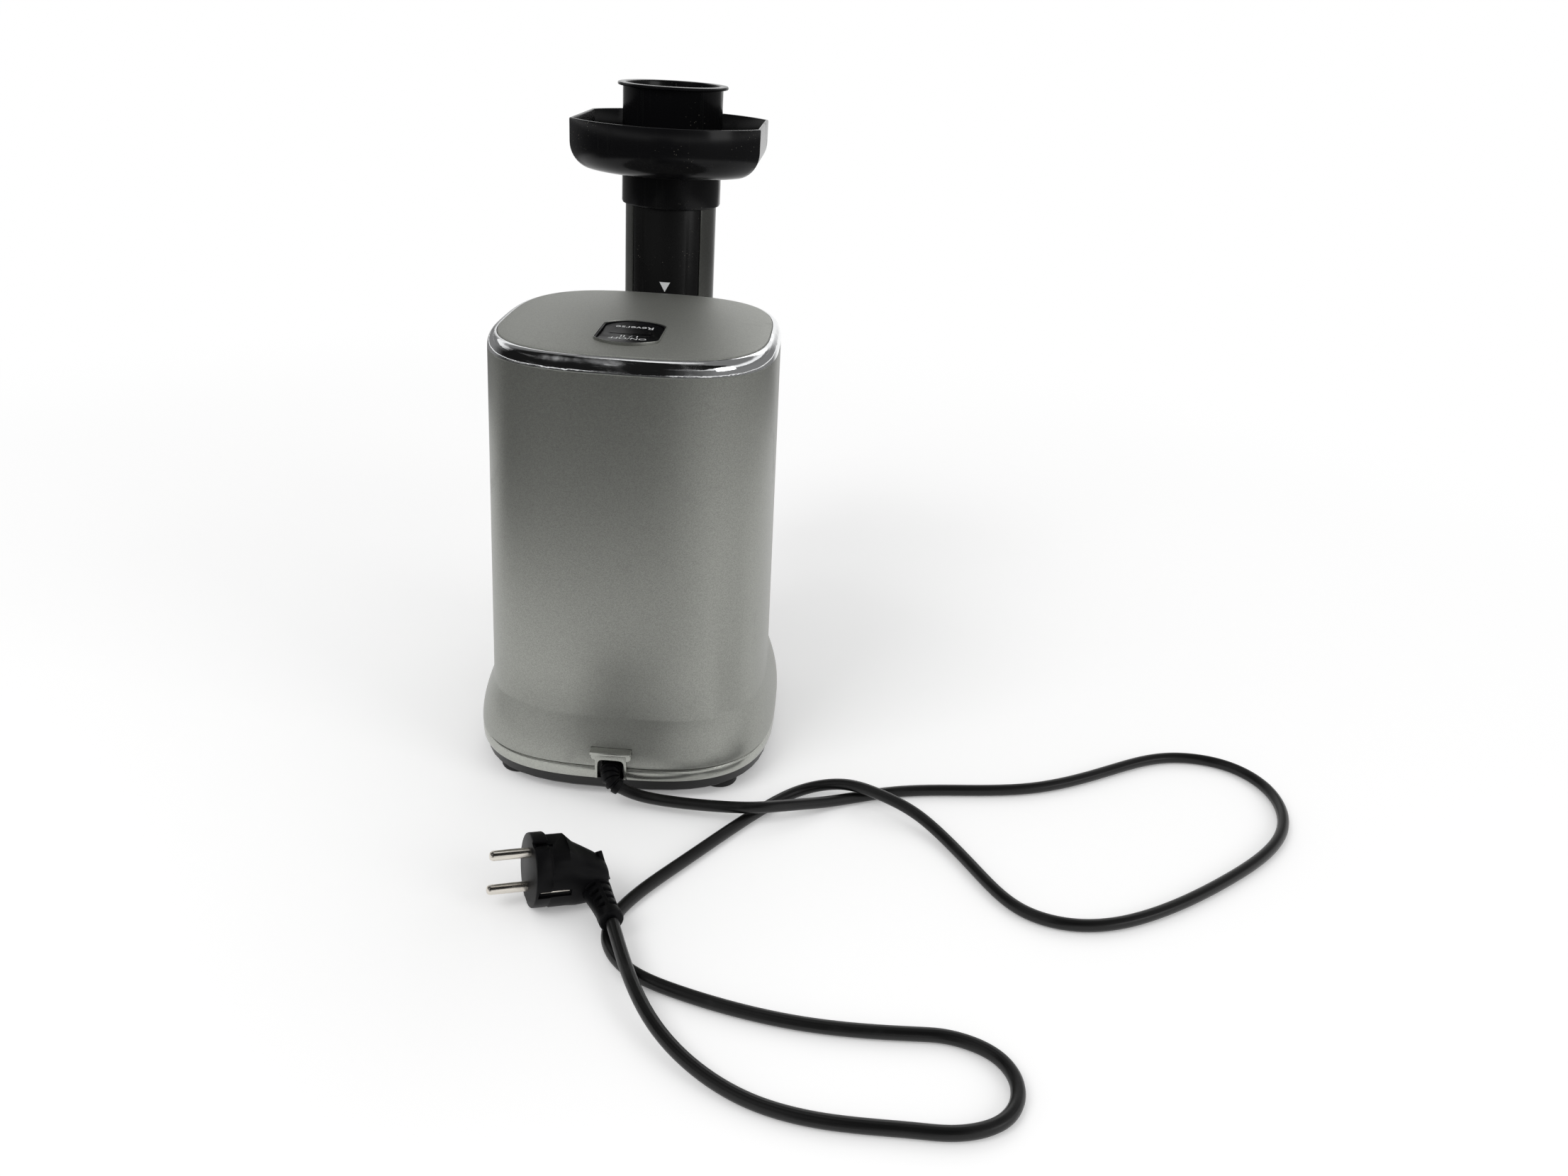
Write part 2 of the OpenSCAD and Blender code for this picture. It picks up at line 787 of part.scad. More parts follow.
module base_screws() color([0.6, 0.6, 0.62]) at_house() at_posts() translate([0, 0, plate_z]) {
    cylinder(d = screw_head_d, h = screw_head_h);
    cylinder(d = screw_d, h = screw_l);
}

module cord_entry_frame() color([0.7, 0.7, 0.7]) at_house() {
    face = -base_rear - entry_proud;
    difference() {
        translate([-entry_w / 2, face, entry_low])
            cube([entry_w, entry_proud + entry_deep, entry_top - entry_low]);
        translate([-entry_hole_w / 2, face - over, entry_low - over])
            cube([entry_hole_w, entry_proud + entry_deep + 2 * over,
                entry_hole_top - entry_low + over]);
    }
    translate([-eave_w / 2, -base_rear - eave_proud, entry_top])
        cube([eave_w, eave_proud + eave_deep, eave_h]);
}

module cord_clamp() color([0.15, 0.15, 0.16]) at_house() difference() {
    translate([-clamp_w / 2, -clamp_back, floor_z])
        cube([clamp_w, clamp_l, relief_z + relief_d / 2 + clamp_over - floor_z]);
    translate([0, -clamp_back - over, relief_z]) rotate([-90, 0, 0])
        cylinder(d = relief_d + 2 * seat, h = clamp_l + 2 * over);
}

// Socket of the drum

module lug_ring(r, height, width, count, turn) {
    for (i = [0 : count - 1]) rotate([0, 0, 360 * i / count + turn]) sector(r, width, height);
}

module socket_ring() color([0.2, 0.2, 0.21]) on_axis(0, 0, drum_z) difference() {
    rotate_extrude() polygon([
        [ring_eye_r, ring_back], [ring_r, ring_back], [ring_r, ring_front],
        [neck_r + gap, ring_front], [neck_r + gap, ring_front - ring_lip],
        [neck_r + lug_h + gap, ring_front - ring_lip],
        [neck_r + lug_h + gap, ring_back + ring_floor], [ring_eye_r, ring_back + ring_floor]
    ]);
    translate([0, 0, ring_front - ring_lip - over])
        lug_ring(neck_r + lug_h + gap + seat, ring_lip + 2 * over, lug_angle + slot_slack,
            lug_count, drum_turn);
}

// Motor

module motor_cradle() color([0.3, 0.3, 0.32]) at_house() {
    length = stator_front - stator_back - 2 * cradle_in;
    translate([-cradle_w / 2, stator_back + cradle_in, floor_z])
        cube([cradle_w, length, cradle_foot]);
    difference() {
        for (y = [stator_back + cradle_in, stator_front - cradle_in - cradle_t])
            translate([-cradle_w / 2, y, floor_z])
                cube([cradle_w, cradle_t, motor_z - cradle_up - floor_z]);
        translate([0, stator_back, motor_z]) rotate([-90, 0, 0])
            cylinder(r = stator_r, h = stator_front - stator_back);
    }
}

module stator_core() color([0.55, 0.56, 0.58]) on_axis(0, stator_back, motor_z) difference() {
    length = stator_front - stator_back;
    cylinder(r = stator_r, h = length);
    translate([0, 0, -over]) cylinder(r = stator_bore_r, h = length + 2 * over);
    for (i = [0 : stator_slots - 1]) rotate([0, 0, 360 * i / stator_slots])
        translate([stator_bore_r - over, -stator_slot_w / 2, -over])
            cube([stator_slot_d + over, stator_slot_w, length + 2 * over]);
}

module stator_windings() color([0.72, 0.4, 0.2]) {
    for (y = [stator_back - coil_l, stator_front]) on_axis(0, y, motor_z)
        tube(coil_out, coil_in, coil_l);
}

module motor_bracket(length) difference() {
    rotate_extrude() polygon([
        [bearing_r + fit, length - bearing_w], [bearing_r + bracket_cup, length - bearing_w],
        [bearing_r + bracket_cup, length - bracket_t],
        [stator_r - bracket_wall, length - bracket_t], [stator_r - bracket_wall, 0],
        [stator_r, 0], [stator_r, length], [bearing_r + fit, length]
    ]);
    for (i = [0 : bracket_holes - 1]) rotate([0, 0, 360 * i / bracket_holes])
        translate([(stator_r + bearing_r) / 2, 0, length - bracket_t - over])
            cylinder(r = bracket_hole_r, h = bracket_t + 2 * over);
}
module motor_bracket_front() color([0.66, 0.67, 0.69]) on_axis(0, stator_front, motor_z)
    motor_bracket(bracket_front_l);
module motor_bracket_rear() color([0.66, 0.67, 0.69]) on_axis(0, stator_back, motor_z)
    mirror([0, 0, 1]) motor_bracket(bracket_rear_l);

// Bearing: two rings and the balls' race between them, as one revolved solid
module ball_bearing(outer, inner, width) rotate_extrude() {
    groove_d = width * bearing_groove_share;
    translate([inner, 0]) square([bearing_ring, width]);
    translate([inner, groove_d]) square([outer - inner, width - 2 * groove_d]);
    translate([outer - bearing_ring, 0]) square([bearing_ring, width]);
}
module bearing_front() color([0.75, 0.76, 0.78])
    on_axis(0, stator_front + bracket_front_l - bearing_w, motor_z)
        ball_bearing(bearing_r, spindle_r + fit, bearing_w);
module bearing_rear() color([0.75, 0.76, 0.78]) on_axis(0, stator_back - bracket_rear_l, motor_z)
    ball_bearing(bearing_r, spindle_r + fit, bearing_w);

module rotor() color([0.5, 0.5, 0.53]) on_axis(0, 0, motor_z) {
    difference() {
        translate([0, 0, stator_back]) cylinder(r = rotor_r, h = stator_front - stator_back);
        for (i = [0 : rotor_slots - 1]) rotate([0, 0, 360 * (i + 0.5) / rotor_slots])
            translate([rotor_r - rotor_slot_d, -rotor_slot_w / 2, stator_back - over])
                cube([rotor_slot_d + over, rotor_slot_w, stator_front - stator_back + 2 * over]);
    }
    translate([0, 0, spindle_back]) cylinder(r = spindle_r, h = first_y + first_w - spindle_back);
    translate([0, 0, stator_back - comm_l]) cylinder(r = comm_r, h = comm_l);
}

module cooling_fan() color([0.15, 0.15, 0.16])
    on_axis(0, stator_back - bracket_rear_l - fan_gap - fan_w, motor_z) difference() {
        union() {
            translate([0, 0, fan_w - fan_disc]) cylinder(r = fan_r, h = fan_disc);
            cylinder(r = fan_hub_r, h = fan_w);
            for (i = [0 : fan_blades - 1]) rotate([0, 0, 360 * i / fan_blades])
                translate([fan_hub_r - over, -fan_blade_t / 2, 0]) rotate([0, 0, fan_blade_turn])
                    cube([(fan_r - fan_hub_r) * cos(fan_blade_turn), fan_blade_t, fan_w]);
        }
        translate([0, 0, -over]) cylinder(r = spindle_r, h = fan_w + 2 * over);
    }

// Gears: involute flanks from the root or the base circle to the tip

function involute(base, r) = let (a = acos(min(1, base / r))) tan(a) * 180 / PI - a;
module gear_plan(teeth, size) {
    pitch = teeth * size / 2;
    base = pitch * cos(pressure);
    root = pitch - root_share * size;
    tip = pitch + size;
    start = max(root, base);
    half = 90 / teeth - backlash_share * size / pitch * 90 / PI + involute(base, pitch);
    flank = [
        for (s = flank_shares) let (r = start + (tip - start) * s) [r, half - involute(base, r)]
    ];
    tooth = root < base ? concat([[root, half]], flank) : flank;
    polygon([
        for (i = [0 : teeth - 1]) let (c = 360 * i / teeth) each concat(
            [for (p = tooth) p[0] * [cos(c - p[1]), sin(c - p[1])]],
            [for (k = [len(tooth) - 1 : -1 : 0]) let (p = tooth[k])
                p[0] * [cos(c + p[1]), sin(c + p[1])]]
        )
    ]);
}

module motor_pinion() color([0.8, 0.7, 0.4]) on_axis(0, first_y, motor_z) difference() {
    rotate([0, 0, first_line]) linear_extrude(first_w) gear_plan(pinion_teeth, first_module);
    translate([0, 0, -over]) cylinder(r = spindle_r, h = first_w + 2 * over);
}

module idler_pin() color([0.7, 0.7, 0.72])
    on_axis(idler_x, case_back + case_wall - pin_deep, idler_z)
        cylinder(r = pin_r, h = case_front - cover_front_t + 2 * pin_deep - case_back - case_wall);

module idler_gear() color([0.9, 0.88, 0.8]) on_axis(idler_x, 0, idler_z) difference() {
    union() {
        translate([0, 0, first_y]) rotate([0, 0, first_line + 180 + 180 / first_teeth])
            linear_extrude(first_w) gear_plan(first_teeth, first_module);
        translate([0, 0, first_y + first_w - over])
            cylinder(r = idler_hub_r, h = second_y - first_y - first_w + 2 * over);
        translate([0, 0, second_y]) rotate([0, 0, second_line])
            linear_extrude(second_w) gear_plan(pinion_teeth, second_module);
    }
    translate([0, 0, first_y - over])
        cylinder(r = pin_r + fit, h = second_y + second_w - first_y + 2 * over);
}

module output_gear() color([0.62, 0.62, 0.64]) on_axis(0, 0, drum_z) {
    difference() {
        translate([0, 0, second_y]) rotate([0, 0, second_line + 180 + 180 / second_teeth])
            linear_extrude(second_w) gear_plan(second_teeth, second_module);
        for (i = [0 : web_holes - 1]) rotate([0, 0, 360 * i / web_holes])
            translate([(out_hub_r + second_lobe - case_wall) / 2, 0, second_y - over])
                cylinder(r = web_hole_r, h = second_w + 2 * over);
    }
    translate([0, 0, second_y]) cylinder(r = out_hub_r, h = second_w + out_hub_up);
    translate([0, 0, out_back]) cylinder(r = out_r, h = out_front - out_back);
}

module output_bearing() color([0.75, 0.76, 0.78]) on_axis(0, case_front - out_bearing_w, drum_z)
    ball_bearing(out_bearing_r, out_r + fit, out_bearing_w);

// Outlines of the two halves of the case, moved inwards
module first_plan(in) {
    translate([0, -motor_z]) circle(r = motor_lobe - in);
    translate([idler_x, -idler_z]) circle(r = first_lobe - in);
    translate([0, -drum_z]) circle(r = second_lobe - in);
}
module second_plan(in) {
    translate([idler_x, -idler_z]) circle(r = small_lobe - in);
    translate([0, -drum_z]) circle(r = second_lobe - in);
}
module at_pads() {
    for (a = out_pads)
        translate([(second_lobe + pad_out) * cos(a), -drum_z - (second_lobe + pad_out) * sin(a), 0])
            children();
    translate([idler_x + (first_lobe + pad_out) * cos(idler_pad),
        -idler_z - (first_lobe + pad_out) * sin(idler_pad), 0]) children();
}

module gear_case() color([0.35, 0.36, 0.38]) on_axis(0, 0, 0) difference() {
    union() {
        difference() {
            translate([0, 0, case_back]) linear_extrude(case_split - case_back) first_plan(0);
            translate([0, 0, case_back + case_wall]) linear_extrude(case_split)
                first_plan(case_wall);
        }
        translate([0, -drum_z, case_back]) cylinder(r = boss_r, h = case_wall + boss_l);
        difference() {
            at_pads() translate([0, 0, case_split - pad_l]) cylinder(r = pad_r, h = pad_l);
            translate([0, 0, case_back]) linear_extrude(case_split) first_plan(case_wall);
        }
    }
    translate([0, -drum_z, out_back - fit]) cylinder(r = out_r + fit, h = case_split);
    translate([0, -motor_z, case_back - over])
        cylinder(r = spindle_r + spindle_gap, h = case_wall + 2 * over);
    translate([idler_x, -idler_z, case_back + case_wall - pin_deep])
        cylinder(r = pin_r, h = case_wall);
    at_pads() translate([0, 0, case_split - pad_l - over])
        cylinder(d = bolt_d + seat, h = pad_l + 2 * over);
}

module gear_cover() color([0.4, 0.41, 0.43]) on_axis(0, 0, 0) difference() {
    union() {
        translate([0, 0, case_split]) linear_extrude(case_wall) first_plan(0);
        translate([0, 0, case_split]) linear_extrude(case_front - case_split) second_plan(0);
        at_pads() translate([0, 0, case_split]) cylinder(r = pad_r, h = case_wall);
    }
    difference() {
        translate([0, 0, case_split - over])
            linear_extrude(case_front - cover_front_t - case_split + over) second_plan(case_wall);
        translate([0, -drum_z, case_front - out_bearing_w - over])
            cylinder(r = out_bearing_r + case_wall, h = out_bearing_w);
    }
    translate([0, -drum_z, case_front - out_bearing_w])
        cylinder(r = out_bearing_r + fit, h = out_bearing_w + over);
    translate([0, -drum_z, case_split]) cylinder(r = out_r + spindle_gap, h = case_front);
    translate([idler_x, -idler_z, case_split])
        cylinder(r = pin_r, h = case_front - cover_front_t + pin_deep - case_split);
    at_pads() translate([0, 0, case_split - over])
        cylinder(d = bolt_d + seat, h = case_wall + 2 * over);
}

module gear_case_screws() color([0.6, 0.6, 0.62]) on_axis(0, 0, 0) at_pads() {
    translate([0, 0, case_split + case_wall]) cylinder(d = bolt_head_d, h = bolt_head_h);
    translate([0, 0, case_split - pad_l])
        cylinder(d = bolt_d, h = pad_l + case_wall + bolt_head_h / 2);
}

module drive_coupling() color([0.16, 0.16, 0.17]) on_axis(0, 0, drum_z) difference() {
    translate([0, 0, ring_back + coupling_gap])
        cylinder(r = coupling_r, h = ring_front - coupling_end - ring_back - coupling_gap);
    translate([0, 0, ring_back]) cylinder(r = out_r, h = out_front - ring_back);
    translate([0, 0, hex_back - seat])
        cylinder(d = (hex_flat + 2 * seat) / cos(30), h = ring_front, $fn = 6);
}

module control_board() color([0.1, 0.35, 0.2]) at_house() {
    z = floor_z + board_post_h;
    translate([board_x - board_w / 2, board_y - board_l / 2, z]) cube([board_w, board_l, board_t]);
    translate([board_x - board_w / 4, board_y, z]) cylinder(d = capacitor_d, h = capacitor_h);
    translate([board_x + board_w / 4 - relay_w / 2, board_y - relay_w / 2, z])
        cube([relay_w, relay_w, relay_h]);
}

// Drum

module drum() color([0.08, 0.08, 0.09]) {
    difference() {
        union() {
            on_axis(0, 0, drum_z) rotate_extrude() polygon([
                [0, drum_back], [flange_r, drum_back], [flange_r, drum_feed],
                [feed_r, drum_feed], [feed_r, drum_mid], [chamber_r, drum_mid + shoulder],
                [chamber_r, drum_end], [0, drum_end]
            ]);
            on_axis(0, neck_back, drum_z) cylinder(r = neck_r, h = drum_back - neck_back + over);
            on_axis(0, ring_front - ring_lip - gap - lug_t, drum_z)
                lug_ring(neck_r + lug_h, lug_t, lug_angle, lug_count, 0);
            on_axis(0, drum_end - cap_lug_back, drum_z)
                lug_ring(chamber_r + cap_lug_h, cap_lug_t, cap_lug_angle, lug_count, 0);
            at_house() translate([0, spout_y, spout_low])
                cylinder(d = spout_d, h = drum_z - spout_low);
            at_house() translate([0, tube_y, drum_z]) {
                cylinder(r = tube_r, h = tube_top - drum_z);
                rotate([0, 0, -90]) sector(strip_r, strip_open, tube_top - strip_drop - drum_z);
            }
        }
        on_axis(0, 0, drum_z) rotate_extrude() polygon([
            [0, drum_feed], [bore_r, drum_feed], [bore_r, drum_mid + shoulder_back],
            [chamber_in, drum_mid + shoulder_back + shoulder], [chamber_in, drum_end + over],
            [0, drum_end + over]
        ]);
        on_axis(0, neck_back - over, drum_z)
            cylinder(r = neck_r - drum_wall, h = drum_back - neck_back + over);
        on_axis(0, neck_back, drum_z) cylinder(r = seal_r + fit, h = drum_end - neck_back);
        at_house() translate([0, spout_y, spout_low - over])
            cylinder(r = spout_d / 2 - spout_wall, h = drum_z - spout_low);
        at_house() translate([0, tube_y, drum_z]) cylinder(d = tube_bore, h = tube_top);
    }
}

module tube_cover() color([0.78, 0.78, 0.76]) {
    low = drum_z + feed_r / 2;
    difference() {
        at_house() translate([0, tube_y, low]) rotate([0, 0, 90]) difference() {
            sector(tube_d / 2, 360 - cover_open, tube_top - cover_drop - low);
            translate([0, 0, -over]) cylinder(r = tube_d / 2 - cover_t, h = tube_top);
        }
        on_axis(0, 0, drum_z) cylinder(r = feed_r + seat, h = drum_end);
    }
}

module drum_seal() color([0.25, 0.25, 0.26]) on_axis(0, 0, drum_z) rotate_extrude() polygon([
    [shaft_r + fit, drum_back - seal_lip], [seal_lip_r, drum_back - seal_lip],
    [seal_lip_r, drum_back], [seal_r, drum_back], [seal_r, drum_feed], [shaft_r + fit, drum_feed]
]);

// Strainer: a slotted cone with a flange that closes the chamber
module strainer() color([0.75, 0.76, 0.78]) on_axis(0, 0, drum_z) difference() {
    rotate_extrude() polygon([
        [bore_r - seat, strainer_back + seat],
        [bore_r + strainer_t / 3, strainer_back + strainer_t / 2],
        [bore_r + strainer_t, strainer_back + 2 * strainer_t],
        [strainer_front_r + strainer_t, drum_end - strainer_flange],
        [chamber_in - seat, drum_end - strainer_flange], [chamber_in - seat, drum_end],
        [strainer_front_r, drum_end]
    ]);
    for (i = [0 : slot_count - 1]) rotate([0, 0, 360 * i / slot_count])
        translate([0, -slot_w / 2, strainer_back + slot_margin])
            cube([chamber_in, slot_w, drum_end - strainer_flange - strainer_back - 2 * slot_margin]);
}

// Auger: a growing core and a flight that winds round it
function auger_r(y) = y < drum_mid ? auger_d / 2
    : auger_d / 2 + (end_r - auger_d / 2) * (y - drum_mid) / (auger_end - drum_mid);
function core_r(y) = core_back_r
    + (core_front_r - core_back_r) * (y - auger_start) / (auger_end - auger_start);
module auger_screw() color([0.12, 0.12, 0.13]) on_axis(0, 0, drum_z) difference() {
    union() {
        rotate_extrude() polygon([
            [0, auger_start], [core_back_r, auger_start], [core_front_r, auger_end],
            [nose_r, auger_end], [nose_r, auger_end + nose_l], [0, auger_end + nose_l]
        ]);
        loft([
            for (i = [0 : flight_turns * flight_steps])
                let (
                    s = i / (flight_turns * flight_steps),
                    a = 360 * i / flight_steps,
                    y = auger_start + flight_end + flight_root_t / 2
                        + s * (auger_end - auger_start - 2 * flight_end - flight_root_t),
                    c = [cos(a), sin(a), 0],
                    inner = core_r(y) - flight_sink,
                    outer = auger_r(y + flight_t / 2)
                )
                [
                    c * inner + [0, 0, y - flight_root_t / 2],
                    c * inner + [0, 0, y + flight_root_t / 2],
                    c * outer + [0, 0, y + flight_t / 2], c * outer + [0, 0, y - flight_t / 2]
                ]
        ]);
    }
    translate([0, 0, auger_start - over]) cylinder(r = shaft_r, h = shaft_deep + over);
}

module auger_shaft() color([0.7, 0.7, 0.72]) on_axis(0, 0, drum_z) {
    step = drum_back - seal_lip - gap;
    translate([0, 0, hex_back]) cylinder(d = hex_flat / cos(30), h = step - hex_back + over, $fn = 6);
    translate([0, 0, step]) cylinder(r = shaft_r, h = auger_start + shaft_deep - step);
}

// End cap

module at_nozzle() on_axis(0, cap_front, drum_z - nozzle_drop) rotate([-nozzle_tilt, 0, 0])
    children();

module end_cap() color([0.08, 0.08, 0.09]) {
    difference() {
        union() {
            on_axis(0, 0, drum_z) {
                translate([0, 0, cap_back]) cylinder(r = cap_r, h = cap_front - cap_back);
                for (i = [0 : grip_count - 1]) rotate([0, 0, 360 * i / grip_count])
                    translate([cap_r - grip_r / 2, 0, cap_back + gap])
                        cylinder(r = grip_r, h = cap_floor - cap_back - gap);
                translate([0, 0, cap_floor])
                    cylinder(r = bush_r + boss_wall, h = cap_wall + boss_wall + bush_l / 2);
            }
            at_nozzle() translate([0, 0, -cap_wall / 2])
                cylinder(r = nozzle_r, h = nozzle_l + cap_wall / 2);
        }
        on_axis(0, 0, drum_z) {
            translate([0, 0, cap_back - over]) cylinder(r = cap_in, h = cap_floor - cap_back + over);
            translate([0, 0, bush_back]) cylinder(r = bush_r + fit, h = bush_l);
        }
        at_nozzle() translate([0, 0, -nozzle_r])
            cylinder(r = nozzle_r - nozzle_wall, h = nozzle_l + 2 * nozzle_r);
    }
    on_axis(0, cap_back, drum_z) difference() {
        lug_ring(cap_in + over, cap_lip_t, cap_lug_angle, lug_count, 0);
        translate([0, 0, -over]) cylinder(r = cap_in - cap_lip_h, h = cap_lip_t + 2 * over);
    }
}

module end_cap_seal() color([0.3, 0.3, 0.31]) on_axis(0, drum_end, drum_z)
    tube(chamber_r, chamber_r - cap_seal_w, cap_seal_t);

module nose_bush() color([0.8, 0.75, 0.6]) on_axis(0, bush_back, drum_z)
    tube(bush_r, nose_r + fit, bush_l);

// Hopper tray and pusher

// Circle cut off by two straight sides, the same number of points at any size
function cut_circle(r, half, z) =
    let (
        corner = acos(half / r),
        bow = [for (i = [0 : tray_steps]) corner + (180 - 2 * corner) * i / tray_steps]
    )
    concat(
        [for (a = bow) [r * cos(a), r * sin(a), z]],
        [for (a = bow) [-r * cos(a), -r * sin(a), z]]
    );
function tray_ring(in, z) = cut_circle(tray_d / 2 - in, tray_w / 2 - in, z);

module hopper_tray() color([0.03, 0.03, 0.04]) at_house() translate([0, tube_y, 0]) {
    deep = tray_round - tray_wall;
    difference() {
        union() {
            loft(concat(
                [for (s = tray_shares) tray_ring(
                    tray_round * (1 - sin(90 * s)), tube_top + tray_round * (1 - cos(90 * s)))],
                [tray_ring(0, tray_top_z), tray_ring(tray_wall, tray_top_z)],
                [for (i = [len(tray_shares) - 1 : -1 : 0]) let (s = tray_shares[i])
                    tray_ring(tray_wall + deep * (1 - sin(90 * s)),
                        tray_floor_z + (tray_round - tray_t) * (1 - cos(90 * s)))]
            ));
            translate([0, 0, tube_top - collar_l]) rotate_extrude() polygon([
                [tube_d / 2 + gap, 0], [collar_r - collar_round, 0],
                [collar_r - collar_round * edge_share, collar_round * edge_share],
                [collar_r, collar_round], [collar_r, collar_l + tray_t / 2],
                [tube_d / 2 + gap, collar_l + tray_t / 2]
            ]);
        }
        translate([0, 0, tube_top - over]) cylinder(d = tube_bore, h = tray_h);
    }
}

module pusher() color([0.03, 0.03, 0.04]) at_house() translate([0, tube_y, 0])
    rotate_extrude() polygon([
        [0, plunger_z], [plunger_r - cup_round, plunger_z], [plunger_r, plunger_z + cup_round],
        [plunger_r, tray_floor_z], [cup_d / 2, tray_floor_z],
        [cup_d / 2, cup_top_z - cup_flange_t], [cup_flange_d / 2, cup_top_z - cup_flange_t],
        [cup_flange_d / 2, cup_top_z - cup_flange_t / 3],
        [cup_flange_d / 2 - cup_flange_t / 3, cup_top_z],
        [cup_d / 2 - cup_wall, cup_top_z], [cup_d / 2 - cup_wall, tray_floor_z + cup_wall],
        [plunger_r - plunger_wall, tray_floor_z + cup_wall],
        [plunger_r - plunger_wall, plunger_z + plunger_wall], [0, plunger_z + plunger_wall]
    ]);

// Cord and plug

// Strain relief: a straight end in the clamp, then down and aside to the cord
relief_shares = [[0, 1, 1], [0, 1.02, 0.95], [0.08, 1.055, 0.87], [0.29, 1.078, 0.775]];
module strain_relief() color([0.06, 0.06, 0.06]) at_house() {
    small = relief_d / 2 - relief_tip_d / 2;
    sweep(concat(
        [[0, clamp_l - clamp_back, relief_z], [0, -clamp_back, relief_z]],
        [for (p = relief_shares) [p[0] * relief_d, -p[1] * base_rear, p[2] * relief_z]],
        [cord_start]
    ), [
        relief_d / 2, relief_d / 2, relief_d / 2, relief_d / 2,
        relief_d / 2 - small / 3, relief_tip_d / 2 + small / 3, relief_tip_d / 2
    ], relief_sides);
    translate([0, -base_rear + entry_deep + seat, relief_z]) rotate([-90, 0, 0])
        cylinder(d = relief_flange_d, h = relief_flange_t);
}

module power_cord() color([0.05, 0.05, 0.05]) at_house()
    sweep(smooth([for (p = cord_route) route_point(p)], 2), [cord_d / 2], cord_sides);

// The plug's own frame: its pins point along +X, one above the other
module at_plug() at_house() translate(plug_face) rotate([0, 0, 180 + plug_yaw])
    rotate([0, -plug_pitch, 0]) children();
function plug_point(d) = plug_face
    + d * [cos(plug_pitch) * cos(plug_yaw), cos(plug_pitch) * sin(plug_yaw), -sin(plug_pitch)];

module plug_body() color([0.05, 0.05, 0.05]) {
    difference() {
        union() {
            at_plug() rotate([0, -90, 0]) {
                rotate_extrude() polygon([
                    [0, 0], [plug_r - plug_edge, 0], [plug_r, plug_edge],
                    [plug_mid_r, plug_puck], [0, plug_puck]
                ]);
                hull() {
                    translate([0, 0, plug_puck - over]) cylinder(r = plug_mid_r, h = over, $fn = 32);
                    translate([0, 0, plug_back]) cylinder(r = plug_back_r, h = plug_edge, $fn = 32);
                }
            }
            at_house() sweep(
                [plug_point(plug_core), (plug_point(plug_core) + cord_stop) / 2, cord_stop],
                [plug_arm_r, plug_arm_mid_r, plug_arm_tip_r], relief_sides);
        }
        at_plug() for (side = [-1, 1]) {
            translate([-plug_puck, -guide_w / 2, side > 0 ? plug_r - guide_d : -plug_r - over])
                cube([plug_puck + over, guide_w, guide_d + over]);
            translate([-pin_sink, 0, side * pin_pitch / 2]) rotate([0, 90, 0])
                cylinder(d = pin_d, h = pin_sink + over);
        }
    }
}

module plug_pins() color([0.8, 0.8, 0.82]) at_plug() for (side = [-1, 1])
    translate([-pin_sink, 0, side * pin_pitch / 2]) rotate([0, 90, 0]) rotate_extrude() polygon([
        [0, 0], [pin_d / 2, 0], [pin_d / 2, pin_sink + pin_l - pin_d / 2],
        [pin_d / 4, pin_sink + pin_l - pin_d / 8], [0, pin_sink + pin_l]
    ]);

housing_shell();
chrome_trim();
top_panel();
switch_bezel();
switch_block();
rocker_switch();
base_band();
base_plate();
foot_rear_left();
foot_rear_right();
foot_front_left();
foot_front_right();
base_screws();
cord_entry_frame();
cord_clamp();
socket_ring();
motor_cradle();
stator_core();
stator_windings();
motor_bracket_front();
motor_bracket_rear();
bearing_front();
bearing_rear();
rotor();
motor_pinion();
cooling_fan();
gear_case();
gear_cover();
gear_case_screws();
idler_pin();
idler_gear();
output_gear();
output_bearing();
drive_coupling();
control_board();
drum();
tube_cover();
drum_seal();
strainer();
auger_screw();
auger_shaft();
end_cap();
end_cap_seal();
nose_bush();
hopper_tray();
pusher();
strain_relief();
power_cord();
plug_body();
plug_pins();
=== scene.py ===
"""Looks of a slow juicer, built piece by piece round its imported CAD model."""

import json
import math

import bmesh
import bpy
import numpy as np
from mathutils import Matrix, Vector


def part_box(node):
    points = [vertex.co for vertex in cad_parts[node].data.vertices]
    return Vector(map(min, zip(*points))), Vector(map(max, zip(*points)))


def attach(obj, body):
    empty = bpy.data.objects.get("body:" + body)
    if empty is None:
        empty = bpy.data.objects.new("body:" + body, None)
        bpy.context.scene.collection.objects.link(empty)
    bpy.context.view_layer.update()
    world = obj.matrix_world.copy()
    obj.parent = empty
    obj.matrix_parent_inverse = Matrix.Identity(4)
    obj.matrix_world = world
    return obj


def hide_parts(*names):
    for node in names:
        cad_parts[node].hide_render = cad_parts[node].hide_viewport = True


bl_info = {
    "name": "Slow Juicer",
    "version": (1, 0, 0),
    "blender": (4, 5, 0),
    "location": "View3D > Sidebar > Juicer",
    "description": "Models and finishes a slow juicer with its cord and plug",
    "category": "Object",
}

